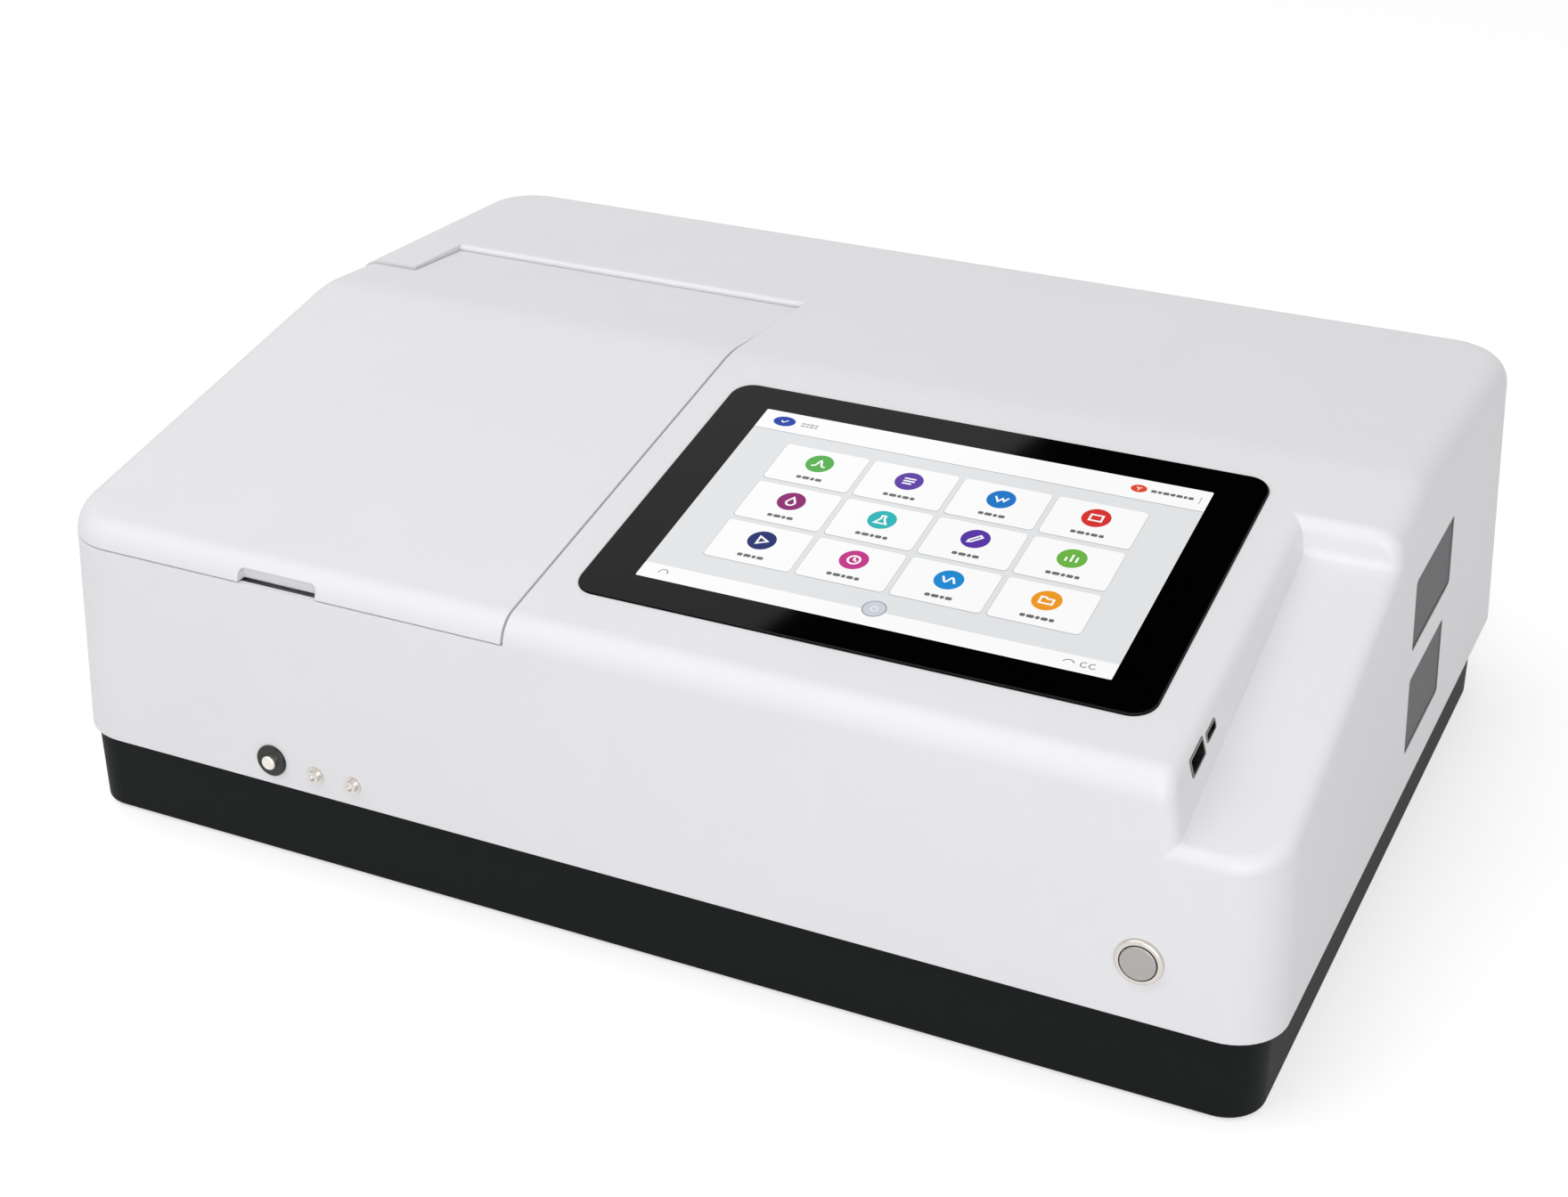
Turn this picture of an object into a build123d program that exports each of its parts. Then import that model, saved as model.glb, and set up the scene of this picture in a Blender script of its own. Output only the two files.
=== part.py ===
from build123d import *
import os
from math import atan, cos, degrees, radians, sin, tan

os.makedirs("parts", exist_ok=True)

# Double-beam UV-Vis spectrophotometer, millimetres, +Z up.
# The origin is on the table under the middle of the housing, and the user sits on the -Y side.

# Driving dimensions of the housing
overall_width = 600.0
overall_depth = 430.0
housing_bottom = 43.5          # lower edge of the white cover above the table
front_edge_height = 154.0      # where the sloped panel would meet the front wall's foot line
panel_slope = 11.0             # degrees the control panel rises towards the back
crease_depth = 226.0           # from the front to the crease between panel and roof
roof_fall = 3.0                # degrees the roof falls from the crease to the back
lid_fall = 5.0                 # the same for the rear part of the lid, which makes the step behind it
wall_draft = 2.5               # degrees each wall leans inwards
corner_radius = 32.0
button_corner_radius = 24.0    # the upright corner beside the power button is tighter
top_edge_radius = 14.0
crease_radius = 60.0
cover_wall = 3.0

# Driving dimensions of the base
foot_height = 1.2
base_inset = 6.0
base_rear_inset = 20.0
base_corner_radius = 18.0
base_wall = 3.0
base_edge_radius = 1.5
base_lip = 6.0                 # how far the cover's lip reaches in over the base wall
post_from_corner = 13.0
foot_radius = 12.0
foot_pocket = 1.5
foot_edge_radius = 1.0
air_slot_x = (-110.0, 150.0)
air_slot_y = 60.0
air_slot_rows = 6
air_slot_pitch = 12.0
air_slot_length = 60.0
air_slot_width = 4.0
foot_from_end = 55.0

# Side shelf at the right, with the sockets in its wall
shelf_wall_x = 249.0
shelf_wall_lean = 10.0
shelf_front_height = 124.5
shelf_slope = 15.5
shelf_length = 182.0
shelf_rim_radius = 7.0
shelf_root_radius = 4.0

# Lid and the recess that it closes
lid_right_x = -48.8
lid_rear_depth = 309.0
strip_x = -258.0               # a strip of the cover stays outside this line behind the lid's left corner
strip_depth = 265.0
parting_height = 144.5
deck_height = 138.0
lid_side_gap = 1.2
lid_rear_gap = 1.4
lid_seat_gap = 0.6
strip_relief = 1.5             # the gap in front of the strip, in rear gaps, for the lid's swing
step_radius = 2.5
hinge_from_rear = 18.0         # hinge axis in front of the lid's rear edge
hinge_below_roof = 5.5
hinge_pin_radius = 2.0
running_clearance = 0.05
hinge_offsets = (-228.0, -76.0)
lug_radius = 4.4
lug_length = 6.0
ear_radius = 3.6
ear_thickness = 3.0
ear_side_gap = 0.5
ear_roof_gap = 0.4
pin_head_radius = 3.0
pin_head_length = 1.0
bracket_taper = 9.0
bracket_foot = 5.0
flange_below_axis = 6.0
tail_reach = 22.0              # the lid's low walls stop this far in front of the hinge axis
notch_x = -167.0
notch_width = 42.0
notch_height = 7.0
notch_radius = 3.0
notch_depth = 5.5
seal_top = 141.0
seal_inner = 3.0               # foam ring's inner and outer lines outside the chamber's opening
seal_outer = 11.0
seal_radius = 12.0
seal_gap = 0.3
liner_offset = 8.5
liner_sheet = 2.5

# Sample chamber, cell carriage and beams
chamber_x = -177.0
chamber_width = 146.0
chamber_front_y = -176.0
chamber_rear_y = 24.0
chamber_wall = 4.0
chamber_floor = 2.0
chamber_corner_radius = 4.0
beam_height = 86.0
sample_beam_y = -93.0
reference_beam_y = 7.0
window_radius = 8.0
window_thickness = 2.0
beam_radius = 5.0
wide_beam_radius = 8.0
cell_pitch = 22.0
cell_count = 4
cell_well = 12.6
cell_foot_below_beam = 15.0
carriage_end = 14.0            # from the first and last cell centre to the block's ends
carriage_width = 100.0
carriage_bottom = 58.0
carriage_top = 70.0
cell_block_width = 26.0
cell_block_top = 104.0
beam_slot = 9.0
guide_offset = 40.0
guide_height = 64.0
guide_radius = 3.0
guide_seat = 2.0
rod_height = 56.0
rod_radius = 3.6
rod_proud = 4.0
rod_socket = 8.0
rod_end_radius = 1.2
rod_wall_gap = 0.6
socket_skin = 2.5
bush_flange_radius = 7.8
bush_radius = 6.0
bush_proud = 1.6
bush_length = 9.0
front_screw_x = (-153.0, -132.4)
front_screw_height = 54.0
screw_head_radius = 4.5
screw_head_height = 3.0
screw_shank_radius = 2.0
screw_boss_radius = 4.0
screw_boss_length = 9.0

# Display on the sloped panel
glass_x = 98.9
glass_up_slope = 121.3
glass_width = 263.0
glass_height = 169.2
glass_thickness = 2.5
glass_proud = 1.0
glass_radius = 10.5
glass_clearance = 0.3
glass_edge_radius = 0.5
window_margin = 12.0           # from the glass edge to the window in the cover
display_corner = 5.0
lcd_clearance = 1.0
lcd_thickness = 5.0
tray_flange = 6.0
tray_sheet = 1.5
board_thickness = 1.6
board_standoff = 9.0
board_size = (140.0, 90.0)
board_margin = 6.0
ribbon_slot = (50.0, 12.0)
chip_size = 16.0
chip_height = 2.0
connector_size = (12.0, 30.0)

# Power button
button_x = 243.2
button_up = 28.5               # up the front wall from the cover's lower edge
button_flange_radius = 10.3
button_flange = 2.2
button_barrel_radius = 9.4
button_barrel_length = 24.0
button_bore_radius = 8.25
button_bore_depth = 5.0
button_cap_radius = 7.7
button_cap_height = 4.0
button_cap_proud = 0.6
button_stem_radius = 3.0
button_stem_length = 9.0
button_nut_width = 24.0
button_nut_height = 4.0
fit_clearance = 0.1

# Vent panels in the right wall: (distance behind the front, centre up the wall, width, height)
vents = {"vent_panel_upper": (249.7, 92.0, 75.0, 35.5), "vent_panel_lower": (245.0, 40.5, 66.0, 39.0)}
vent_radius = 2.5
vent_recess = 0.2
vent_field = 0.4
vent_flange = 3.0
vent_flange_thickness = 1.5
vent_frame = 1.0               # narrow frame seen round the set-back field
vent_gap = 0.25

# Sockets in the shelf wall, placed along the slope and down the wall
socket_drop = 10.5
socket_radius = 1.0
socket_proud = 0.4
usb_along = 33.3
usb_outer = (16.0, 9.2)
usb_mouth = (14.0, 7.2)
usb_depth = 18.0
usb_tongue = (11.6, 1.8)
mouth_share = 0.8              # a socket's mouth runs this far into its depth
aux_along = 50.2
aux_outer = (11.0, 4.8)
aux_mouth = (9.6, 3.4)
aux_depth = 9.0
aux_tongue = (6.6, 0.8)

# Rear panel, mains inlet, data socket and fan, placed on the rear wall
rear_panel_x = 70.0
rear_panel_up = 64.0
rear_panel_width = 372.0
rear_panel_height = 96.0
rear_panel_flange = 6.0
rear_panel_sheet = 2.0
rear_opening_radius = 6.0
fan_x = 205.0
fan_size = 80.0
fan_depth = 25.0
fan_bore_radius = 38.0
fan_hub_radius = 17.0
fan_blades = 7
fan_blade_gap = 1.0
fan_blade_thickness = 1.6
fan_blade_pitch = 35.0
fan_corner_radius = 4.0
fan_arm_width = 4.0
fan_arms = 3
fan_first_arm = 30.0
fan_bearing_radius = 3.0
guard_thickness = 2.5
guard_rings = 4
guard_bar = 2.4
inlet_x = 96.0
inlet_flange = (48.0, 30.0)
inlet_flange_thickness = 2.0
inlet_flange_radius = 4.0
inlet_body = (28.0, 21.0)
inlet_mouth = (24.6, 16.6)
inlet_depth = 22.0
inlet_mouth_depth = 16.0
inlet_pin = (1.8, 4.6)
inlet_pin_pitch = 7.0
data_x = 30.0
data_flange = (16.0, 15.0)
data_body = (12.0, 11.0)
data_mouth = (8.6, 7.9)
data_depth = 16.0
data_mouth_depth = 10.0
data_tongue = (5.6, 3.2)

# Optical bench and what stands on it
bench_top = 46.0
bench_thickness = 8.0
bench_side = 284.0
bench_front_y = -185.0
bench_step_y = -15.0
bench_step_x = -60.0
bench_rear_y = 172.0
bench_corner = 6.0
mount_radius = 8.0
mount_inset = 20.0
mount_flange_radius = 11.0
holder_thickness = 4.0
holder_width = 24.0
monochromator = (-100.0, 128.0, 30.0, 165.0)
monochromator_height = 80.0
monochromator_wall = 4.0
monochromator_lid = 3.0
baffle_offset = 38.0
exit_x = -78.0
entrance_y = 120.0
slit_plate = 20.0
slit_thickness = 0.8
slit_width = 1.0
slit_height = 9.0
turret_radius = 15.0
turret_height = 4.0
turret_above_floor = 3.0
grating_radius = 14.0
grating_thickness = 6.0
shaft_radius = 2.5
motor_size = 35.0
motor_height = 22.0
motor_bore_depth = 8.0
motor_gap = 1.5
lamp_house = (160.0, 284.0, 60.0, 165.0)
lamp_house_height = 100.0
lamp_house_sheet = 2.0
louvre_rows = 7
louvre_pitch = 10.0
louvre_length = 80.0
louvre_width = 3.0
lamp_base_height = 8.0
deuterium_radius = 15.0
deuterium_base_radius = 18.0
deuterium_height = 60.0
halogen_radius = 6.0
deuterium_x = 250.0
halogen_y = 85.0
lamp_mirror_x = 205.0
wheel_x = 134.0
wheel_radius = 26.0
wheel_thickness = 3.0
filter_circle = 17.0
filter_count = 6
filter_radius = 5.0
wheel_motor_radius = 9.5
wheel_motor_gap = 2.5
detector_length = 30.0
photodiode_radius = 9.0
photodiode_length = 8.0
mirror_size = 24.0
mirror_thickness = 3.0
splitter_thickness = 1.5
lens_radius = 9.0
lens_thickness = 4.0
lens_offset = 7.0
block_margin = 12.0

# Electronics on the tray floor
supply_x = (70.0, 230.0)
supply_y = (-190.0, -95.0)
supply_height = 40.0
supply_slots = 13
supply_slot_length = 66.0
main_board_x = (-50.0, 60.0)
main_board_y = (-186.0, -40.0)

# Screws that hold the cover to the base
post_radius = 7.0
cover_boss_radius = 8.0
cover_boss_height = 14.0
cover_screw_head_radius = 4.0
cover_screw_head_height = 3.0
cover_screw_recess = 3.5
screw_clearance = 0.25
hex_key_radius = 1.6

# Worked-out places
front_y = -overall_depth / 2
rear_y = overall_depth / 2
crease_y = front_y + crease_depth
slope = radians(panel_slope)
draft = radians(wall_draft)
crease_height = front_edge_height + crease_depth * tan(slope)
roof_clear = crease_height + cover_wall * 10
base_front_y = front_y + base_inset
base_rear_y = rear_y - base_rear_inset
base_half_width = overall_width / 2 - base_inset
base_centre_y = (base_front_y + base_rear_y) / 2
base_length = base_rear_y - base_front_y
base_top = housing_bottom
tray_floor_top = foot_height + base_wall
bench_bottom = bench_top - bench_thickness
lid_rear_y = front_y + lid_rear_depth
strip_y = front_y + strip_depth
hinge_y = lid_rear_y - lid_rear_gap - hinge_from_rear
hinge_z = crease_height - (hinge_y - crease_y) * tan(radians(lid_fall)) - hinge_below_roof
deck_bottom = deck_height - cover_wall
chamber_y = (chamber_front_y + chamber_rear_y) / 2
chamber_length = chamber_rear_y - chamber_front_y
chamber_left_x = chamber_x - chamber_width / 2 - chamber_wall
chamber_right_x = chamber_x + chamber_width / 2 + chamber_wall
cell_ys = [sample_beam_y + cell_pitch * i for i in range(cell_count)]
well_bottom = beam_height - cell_foot_below_beam
carriage_front_y = cell_ys[0] - carriage_end
carriage_rear_y = cell_ys[-1] + carriage_end
post_places = [(side * (base_half_width - post_from_corner), y)
               for side in (-1, 1) for y in (base_front_y + post_from_corner, base_rear_y - post_from_corner)]
post_places += [(0, base_front_y + post_radius + base_wall - 1), (0, base_rear_y - post_radius - base_wall + 1)]


def wall_y(height):
    """Front wall's outer face at a height above the table."""
    return front_y + (height - housing_bottom) * tan(draft)


# Planes of the housing's faces: local x runs to the right or back, local y runs up the face
panel_plane = Plane(origin=(0, front_y, front_edge_height), x_dir=(1, 0, 0), z_dir=(0, -sin(slope), cos(slope)))
front_plane = Plane(origin=(0, front_y, housing_bottom), x_dir=(1, 0, 0), z_dir=(0, -cos(draft), sin(draft)))
rear_plane = Plane(origin=(0, rear_y, housing_bottom), x_dir=(-1, 0, 0), z_dir=(0, cos(draft), sin(draft)))
side_plane = Plane(origin=(overall_width / 2, 0, housing_bottom), x_dir=(0, 1, 0),
                   z_dir=(cos(draft), 0, sin(draft)))
lean = radians(shelf_wall_lean)
shelf_wall_plane = Plane(origin=(shelf_wall_x, front_y, front_edge_height), x_dir=(0, cos(slope), sin(slope)),
                         z_dir=(cos(lean), -sin(lean) * sin(slope), sin(lean) * cos(slope)))


def save(builder, name):
    """Label one finished piece and write its file."""
    builder.part.label = name
    export_step(builder.part, f"parts/{name}.step")
    print(name, len(builder.part.solids()), round(builder.part.volume / 1000, 2))


def on_both(part, first, second):
    """Edges of a part that lie on the skins of two other solids."""
    skins = [first.faces(), second.faces()]

    def lies_on(edge):
        points = [Vertex(*(edge @ place)) for place in (0.1, 0.5, 0.9)]
        return all(min(face.distance_to(point) for face in skin) < 0.01 for skin in skins for point in points)

    return part.edges().filter_by(lies_on)


def housing_form(inset, fall):
    """Drafted block under the sloped panel and the falling roof, with every face moved in by the inset."""
    plan_inset = 2 * inset / cos(draft)
    rise = tan(slope)
    drop = tan(radians(fall))
    slope_drop = inset / cos(slope)
    fall_drop = inset / cos(radians(fall))
    ridge_y = crease_y + (slope_drop - fall_drop) / (rise + drop)
    ridge_z = crease_height - slope_drop + (ridge_y - crease_y) * rise
    beyond = cover_wall * 4
    with BuildPart() as form:
        with BuildSketch(Plane.XY.offset(housing_bottom)):
            Rectangle(overall_width - plan_inset, overall_depth - plan_inset)
        extrude(amount=roof_clear - housing_bottom, taper=wall_draft)
        uprights = form.edges().filter_by(lambda e: abs(e.tangent_at(0.5).Z) > 0.5)
        button_corner = uprights.sort_by(lambda e: e.center().X - e.center().Y)[-1]
        fillet(uprights - ShapeList([button_corner]), corner_radius - inset)
        again = form.edges().filter_by(lambda e: abs(e.tangent_at(0.5).Z) > 0.5)
        fillet(again.sort_by(lambda e: e.center().X - e.center().Y)[-1], button_corner_radius - inset)
        with BuildSketch(Plane.YZ) as above_roof:
            with BuildLine():
                Polyline((front_y - beyond, ridge_z - (ridge_y - front_y + beyond) * rise),
                         (ridge_y, ridge_z),
                         (rear_y + beyond, ridge_z - (rear_y + beyond - ridge_y) * drop),
                         (rear_y + beyond, roof_clear + beyond),
                         (front_y - beyond, roof_clear + beyond), close=True)
            make_face()
            crease = above_roof.vertices().sort_by_distance((ridge_y, ridge_z, 0))[0]
            fillet(crease, crease_radius - inset)
        extrude(amount=overall_width, both=True, mode=Mode.SUBTRACT)
        near_roof = form.edges().filter_by(lambda e: e.center().Z > parting_height)
        creases = near_roof.filter_by(Axis.X).filter_by(lambda e: abs(e.center().Y - crease_y) < crease_radius)
        fillet(near_roof - creases, top_edge_radius - inset)
    return form.part


def lid_region(side, rear, low):
    """Everything above a height over the lid's plan, grown or shrunk at its sides and rear."""
    outside = overall_width
    with BuildPart() as region:
        with BuildSketch(Plane.XY.offset(low)):
            with BuildLine():
                Polyline((-outside, -outside), (lid_right_x + side, -outside),
                         (lid_right_x + side, lid_rear_y + rear), (strip_x - side, lid_rear_y + rear),
                         (strip_x - side, strip_y + rear * strip_relief), (-outside, strip_y + rear * strip_relief),
                         close=True)
            make_face()
        extrude(amount=roof_clear - low)
    return region.part


outer_form = housing_form(0, roof_fall)
inner_form = housing_form(cover_wall, roof_fall)
lid_form = housing_form(0, lid_fall)
lid_inner_form = housing_form(cover_wall, lid_fall)

def shelf_form(grow):
    """Cutter of the side shelf: its wall and end lean outwards with the depth, its floor rises to the back."""
    above = cover_wall * 2
    reach = overall_width
    wall_x = shelf_wall_x - (above * sin(lean) + grow) / cos(lean)
    end_y = shelf_length + (above * sin(lean) + grow) / cos(lean)
    floor = Plane(origin=(0, front_y, shelf_front_height - grow / cos(radians(shelf_slope))), x_dir=(1, 0, 0),
                  z_dir=(0, -sin(radians(shelf_slope)), cos(radians(shelf_slope))))
    with BuildPart() as cutter:
        with BuildSketch(panel_plane.offset(above)):
            with Locations((wall_x, end_y)):
                Rectangle(reach, reach, align=(Align.MIN, Align.MAX))
        extrude(amount=-reach / 4, taper=shelf_wall_lean)
        split(bisect_by=floor, keep=Keep.TOP)
        if grow == 0:
            inner_corner = Vector(shelf_wall_x, front_y + shelf_length, crease_height)
            upright = cutter.edges().filter_by(Axis.X, reverse=True).filter_by(Axis.Y, reverse=True)
            fillet(upright.sort_by(lambda e: e.distance_to(inner_corner))[0], shelf_rim_radius)
            root = cutter.faces().filter_by(lambda f: f.normal_at().Z < -0.9).face().edges()
            near = root.filter_by(lambda e: e.center().X > shelf_wall_x - grow and abs(e.center().Y) < rear_y)
            fillet(near, shelf_root_radius)
    return cutter.part


def slab(x, y, z, mode=Mode.ADD):
    """Box between two places along each axis."""
    with Locations(((x[0] + x[1]) / 2, (y[0] + y[1]) / 2, (z[0] + z[1]) / 2)):
        Box(x[1] - x[0], y[1] - y[0], z[1] - z[0], mode=mode)


def round_bar(places, radius, low, high, mode=Mode.ADD):
    """Upright cylinders between two heights at a list of places."""
    with Locations(*[(x, y, low) for x, y in places]):
        Cylinder(radius, high - low, align=(Align.CENTER, Align.CENTER, Align.MIN), mode=mode)


def bar_along_x(x, y, z, radius, mode=Mode.ADD):
    """Cylinder between two places along X."""
    with Locations(((x[0] + x[1]) / 2, y, z)):
        Cylinder(radius, x[1] - x[0], rotation=(0, 90, 0), mode=mode)


def bar_along_y(x, y, z, radius, mode=Mode.ADD):
    """Cylinder between two places along Y."""
    with Locations((x, (y[0] + y[1]) / 2, z)):
        Cylinder(radius, y[1] - y[0], rotation=(90, 0, 0), mode=mode)


def plate_on(plane, place, size, radius, near, far, mode=Mode.ADD):
    """Rounded plate on a housing plane between two heights over it."""
    with BuildSketch(plane.offset(near)) as outline:
        with Locations(place):
            RectangleRounded(size[0], size[1], radius)
    extrude(outline.sketch, amount=far - near, mode=mode)


def disc_on(plane, places, radius, near, far, mode=Mode.ADD):
    """Round discs on a housing plane between two heights over it."""
    with BuildSketch(plane.offset(near)) as discs:
        with Locations(*places):
            Circle(radius)
    extrude(discs.sketch, amount=far - near, mode=mode)


# Base tray with its posts, foot pockets and air slots
foot_places = [(side * (base_half_width - foot_from_end), y)
               for side in (-1, 1) for y in (base_front_y + foot_from_end, base_rear_y - foot_from_end)]
screw_tip = base_top + cover_boss_height - screw_shank_radius * 2
screw_seat = foot_height + cover_screw_recess
with BuildPart() as base_tray:
    with BuildSketch(Plane.XY.offset(foot_height)):
        with Locations((0, base_centre_y)):
            RectangleRounded(2 * base_half_width, base_length, base_corner_radius)
    extrude(amount=base_top - foot_height)
    fillet(base_tray.edges().group_by(Axis.Z)[0], base_edge_radius)
    with BuildSketch(Plane.XY.offset(tray_floor_top)):
        with Locations((0, base_centre_y)):
            RectangleRounded(2 * (base_half_width - base_wall), base_length - 2 * base_wall,
                             base_corner_radius - base_wall)
    extrude(amount=base_top - tray_floor_top, mode=Mode.SUBTRACT)
    round_bar(post_places, post_radius, tray_floor_top, base_top)
    round_bar(post_places, cover_screw_head_radius + screw_clearance, foot_height, screw_seat, Mode.SUBTRACT)
    round_bar(post_places, screw_shank_radius + screw_clearance, foot_height, base_top, Mode.SUBTRACT)
    round_bar(foot_places, foot_radius + fit_clearance, foot_height, foot_height + foot_pocket, Mode.SUBTRACT)
    with BuildSketch(Plane.XY.offset(foot_height)):
        for slot_x in air_slot_x:
            with Locations((slot_x, air_slot_y)):
                with GridLocations(0, air_slot_pitch, 1, air_slot_rows):
                    SlotOverall(air_slot_length, air_slot_width)
    extrude(amount=base_wall, mode=Mode.SUBTRACT)
save(base_tray, "base_tray")

with BuildPart() as rubber_feet:
    round_bar(foot_places, foot_radius, 0, foot_height + foot_pocket)
    fillet(rubber_feet.edges().group_by(Axis.Z)[0], foot_edge_radius)
save(rubber_feet, "rubber_feet")

with BuildPart() as cover_screws:
    round_bar(post_places, cover_screw_head_radius, screw_seat - cover_screw_head_height, screw_seat)
    round_bar(post_places, screw_shank_radius, screw_seat, screw_tip)
    with BuildSketch(Plane.XY.offset(screw_seat - cover_screw_head_height)):
        with Locations(*post_places):
            RegularPolygon(hex_key_radius, 6)
    extrude(amount=cover_screw_head_height / 2, mode=Mode.SUBTRACT)
save(cover_screws, "cover_screws")

# Main cover: shell, recess for the lid, shelf, lip and screw bosses
shelf_cutter = shelf_form(0)
with BuildPart() as hollow:
    add(inner_form)
    add(lid_region(cover_wall, cover_wall, deck_bottom), mode=Mode.SUBTRACT)
    add(shelf_form(cover_wall), mode=Mode.SUBTRACT)
with BuildPart() as lid_recess:
    add(inner_form)
    add(lid_region(0, 0, deck_height), mode=Mode.INTERSECT)
window_size = (glass_width - 2 * window_margin, glass_height - 2 * window_margin)
glass_place = (glass_x, glass_up_slope)
button_place = (button_x, button_up)
rod_place = (chamber_x, (rod_height - housing_bottom) / cos(draft))
front_screw_places = [(x, (front_screw_height - housing_bottom) / cos(draft)) for x in front_screw_x]
usb_place = (usb_along, -socket_drop)
aux_place = (aux_along, -socket_drop)
rear_panel_place = (-rear_panel_x, rear_panel_up)
fan_place = (-fan_x, rear_panel_up)
inlet_place = (-inlet_x, rear_panel_up)
data_place = (-data_x, rear_panel_up)
rear_opening = (rear_panel_width - 2 * rear_panel_flange, rear_panel_height - 2 * rear_panel_flange)
with BuildPart() as main_cover:
    add(outer_form)
    add(shelf_cutter, mode=Mode.SUBTRACT)
    fillet(on_both(main_cover.part, outer_form, shelf_cutter), shelf_rim_radius)
    add(hollow.part, mode=Mode.SUBTRACT)
    add(lid_region(0, 0, parting_height), mode=Mode.SUBTRACT)
    add(lid_recess.part, mode=Mode.SUBTRACT)
    step = main_cover.edges().filter_by(Axis.X).filter_by(lambda e: abs(e.center().Y - lid_rear_y) < 0.1)
    fillet(step.sort_by(Axis.Z)[-1], step_radius)
    with BuildPart(mode=Mode.PRIVATE) as lip:
        add(outer_form)
        slab((-overall_width, overall_width), (-overall_depth, overall_depth),
             (housing_bottom, housing_bottom + cover_wall), Mode.INTERSECT)
        with BuildSketch(Plane.XY.offset(housing_bottom)):
            with Locations((0, base_centre_y)):
                RectangleRounded(2 * (base_half_width - base_lip), base_length - 2 * base_lip,
                                 base_corner_radius - base_lip)
        extrude(amount=cover_wall, mode=Mode.SUBTRACT)
    add(lip.part)
    round_bar(post_places, cover_boss_radius, housing_bottom, housing_bottom + cover_boss_height)
    round_bar(post_places, screw_shank_radius + running_clearance, housing_bottom,
              housing_bottom + cover_boss_height - cover_wall / 2, Mode.SUBTRACT)
    disc_on(front_plane, front_screw_places, screw_boss_radius, -screw_boss_length, -cover_wall)
    disc_on(front_plane, front_screw_places, screw_shank_radius + fit_clearance, -screw_boss_length, 0,
            Mode.SUBTRACT)
    disc_on(front_plane, [rod_place], bush_radius + fit_clearance, -cover_wall - 1, 1, Mode.SUBTRACT)
    disc_on(front_plane, [button_place], button_barrel_radius + fit_clearance, -cover_wall - 1, 1, Mode.SUBTRACT)
    with BuildSketch(Plane.XY.offset(deck_bottom)):
        with Locations((chamber_x, chamber_y)):
            RectangleRounded(chamber_width, chamber_length, chamber_corner_radius)
    extrude(amount=cover_wall, mode=Mode.SUBTRACT)
    plate_on(panel_plane, glass_place, (glass_width + 2 * glass_clearance, glass_height + 2 * glass_clearance),
             glass_radius + glass_clearance, glass_proud - glass_thickness, cover_wall, Mode.SUBTRACT)
    plate_on(panel_plane, glass_place, window_size, display_corner, -cover_wall - 1, cover_wall, Mode.SUBTRACT)
    for along, up, width, height in vents.values():
        plate_on(side_plane, (front_y + along, up), (width, height), vent_radius, -cover_wall - 1, 1, Mode.SUBTRACT)
    plate_on(shelf_wall_plane, usb_place, (usb_outer[0] + 2 * fit_clearance, usb_outer[1] + 2 * fit_clearance),
             socket_radius, -cover_wall * 2, cover_wall, Mode.SUBTRACT)
    plate_on(shelf_wall_plane, aux_place, (aux_outer[0] + 2 * fit_clearance, aux_outer[1] + 2 * fit_clearance),
             socket_radius, -cover_wall * 2, cover_wall, Mode.SUBTRACT)
    plate_on(rear_plane, rear_panel_place, rear_opening, rear_opening_radius, -cover_wall - 1, 1, Mode.SUBTRACT)
save(main_cover, "main_cover")

# Rear panel, a steel sheet behind the opening in the rear wall
panel_face = -cover_wall
panel_back = panel_face - rear_panel_sheet
with BuildPart() as rear_panel:
    plate_on(rear_plane, rear_panel_place, (rear_panel_width, rear_panel_height), rear_opening_radius,
             panel_back, panel_face)
    disc_on(rear_plane, [fan_place], fan_bore_radius, panel_back, panel_face, Mode.SUBTRACT)
    plate_on(rear_plane, inlet_place, (inlet_body[0] + 2 * fit_clearance, inlet_body[1] + 2 * fit_clearance),
             socket_radius, panel_back, panel_face, Mode.SUBTRACT)
    plate_on(rear_plane, data_place, (data_body[0] + 2 * fit_clearance, data_body[1] + 2 * fit_clearance),
             socket_radius, panel_back, panel_face, Mode.SUBTRACT)
save(rear_panel, "rear_panel")

with BuildPart() as power_inlet:
    plate_on(rear_plane, inlet_place, inlet_flange, inlet_flange_radius, panel_face,
             panel_face + inlet_flange_thickness)
    plate_on(rear_plane, inlet_place, inlet_body, socket_radius, panel_face - inlet_depth, panel_face)
    plate_on(rear_plane, inlet_place, inlet_mouth, socket_radius,
             panel_face + inlet_flange_thickness - inlet_mouth_depth, panel_face + inlet_flange_thickness,
             Mode.SUBTRACT)
    pin_low = panel_face + inlet_flange_thickness - inlet_mouth_depth
    for pin_x, pin_y in ((-1, -0.3), (0, 0.3), (1, -0.3)):
        pin_place = (inlet_place[0] + pin_x * inlet_pin_pitch, inlet_place[1] + pin_y * inlet_pin_pitch)
        plate_on(rear_plane, pin_place, inlet_pin, inlet_pin[0] / 4, pin_low, -inlet_flange_thickness * 2)
save(power_inlet, "power_inlet")

with BuildPart() as data_socket:
    plate_on(rear_plane, data_place, data_flange, socket_radius, panel_face, panel_face + 1)
    plate_on(rear_plane, data_place, data_body, socket_radius, panel_face - data_depth, panel_face)
    plate_on(rear_plane, data_place, data_mouth, socket_radius, panel_face - data_mouth_depth, panel_face + 1,
             Mode.SUBTRACT)
    plate_on(rear_plane, data_place, data_tongue, socket_radius / 2, panel_face - data_mouth_depth, panel_face)
save(data_socket, "data_socket")

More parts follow.
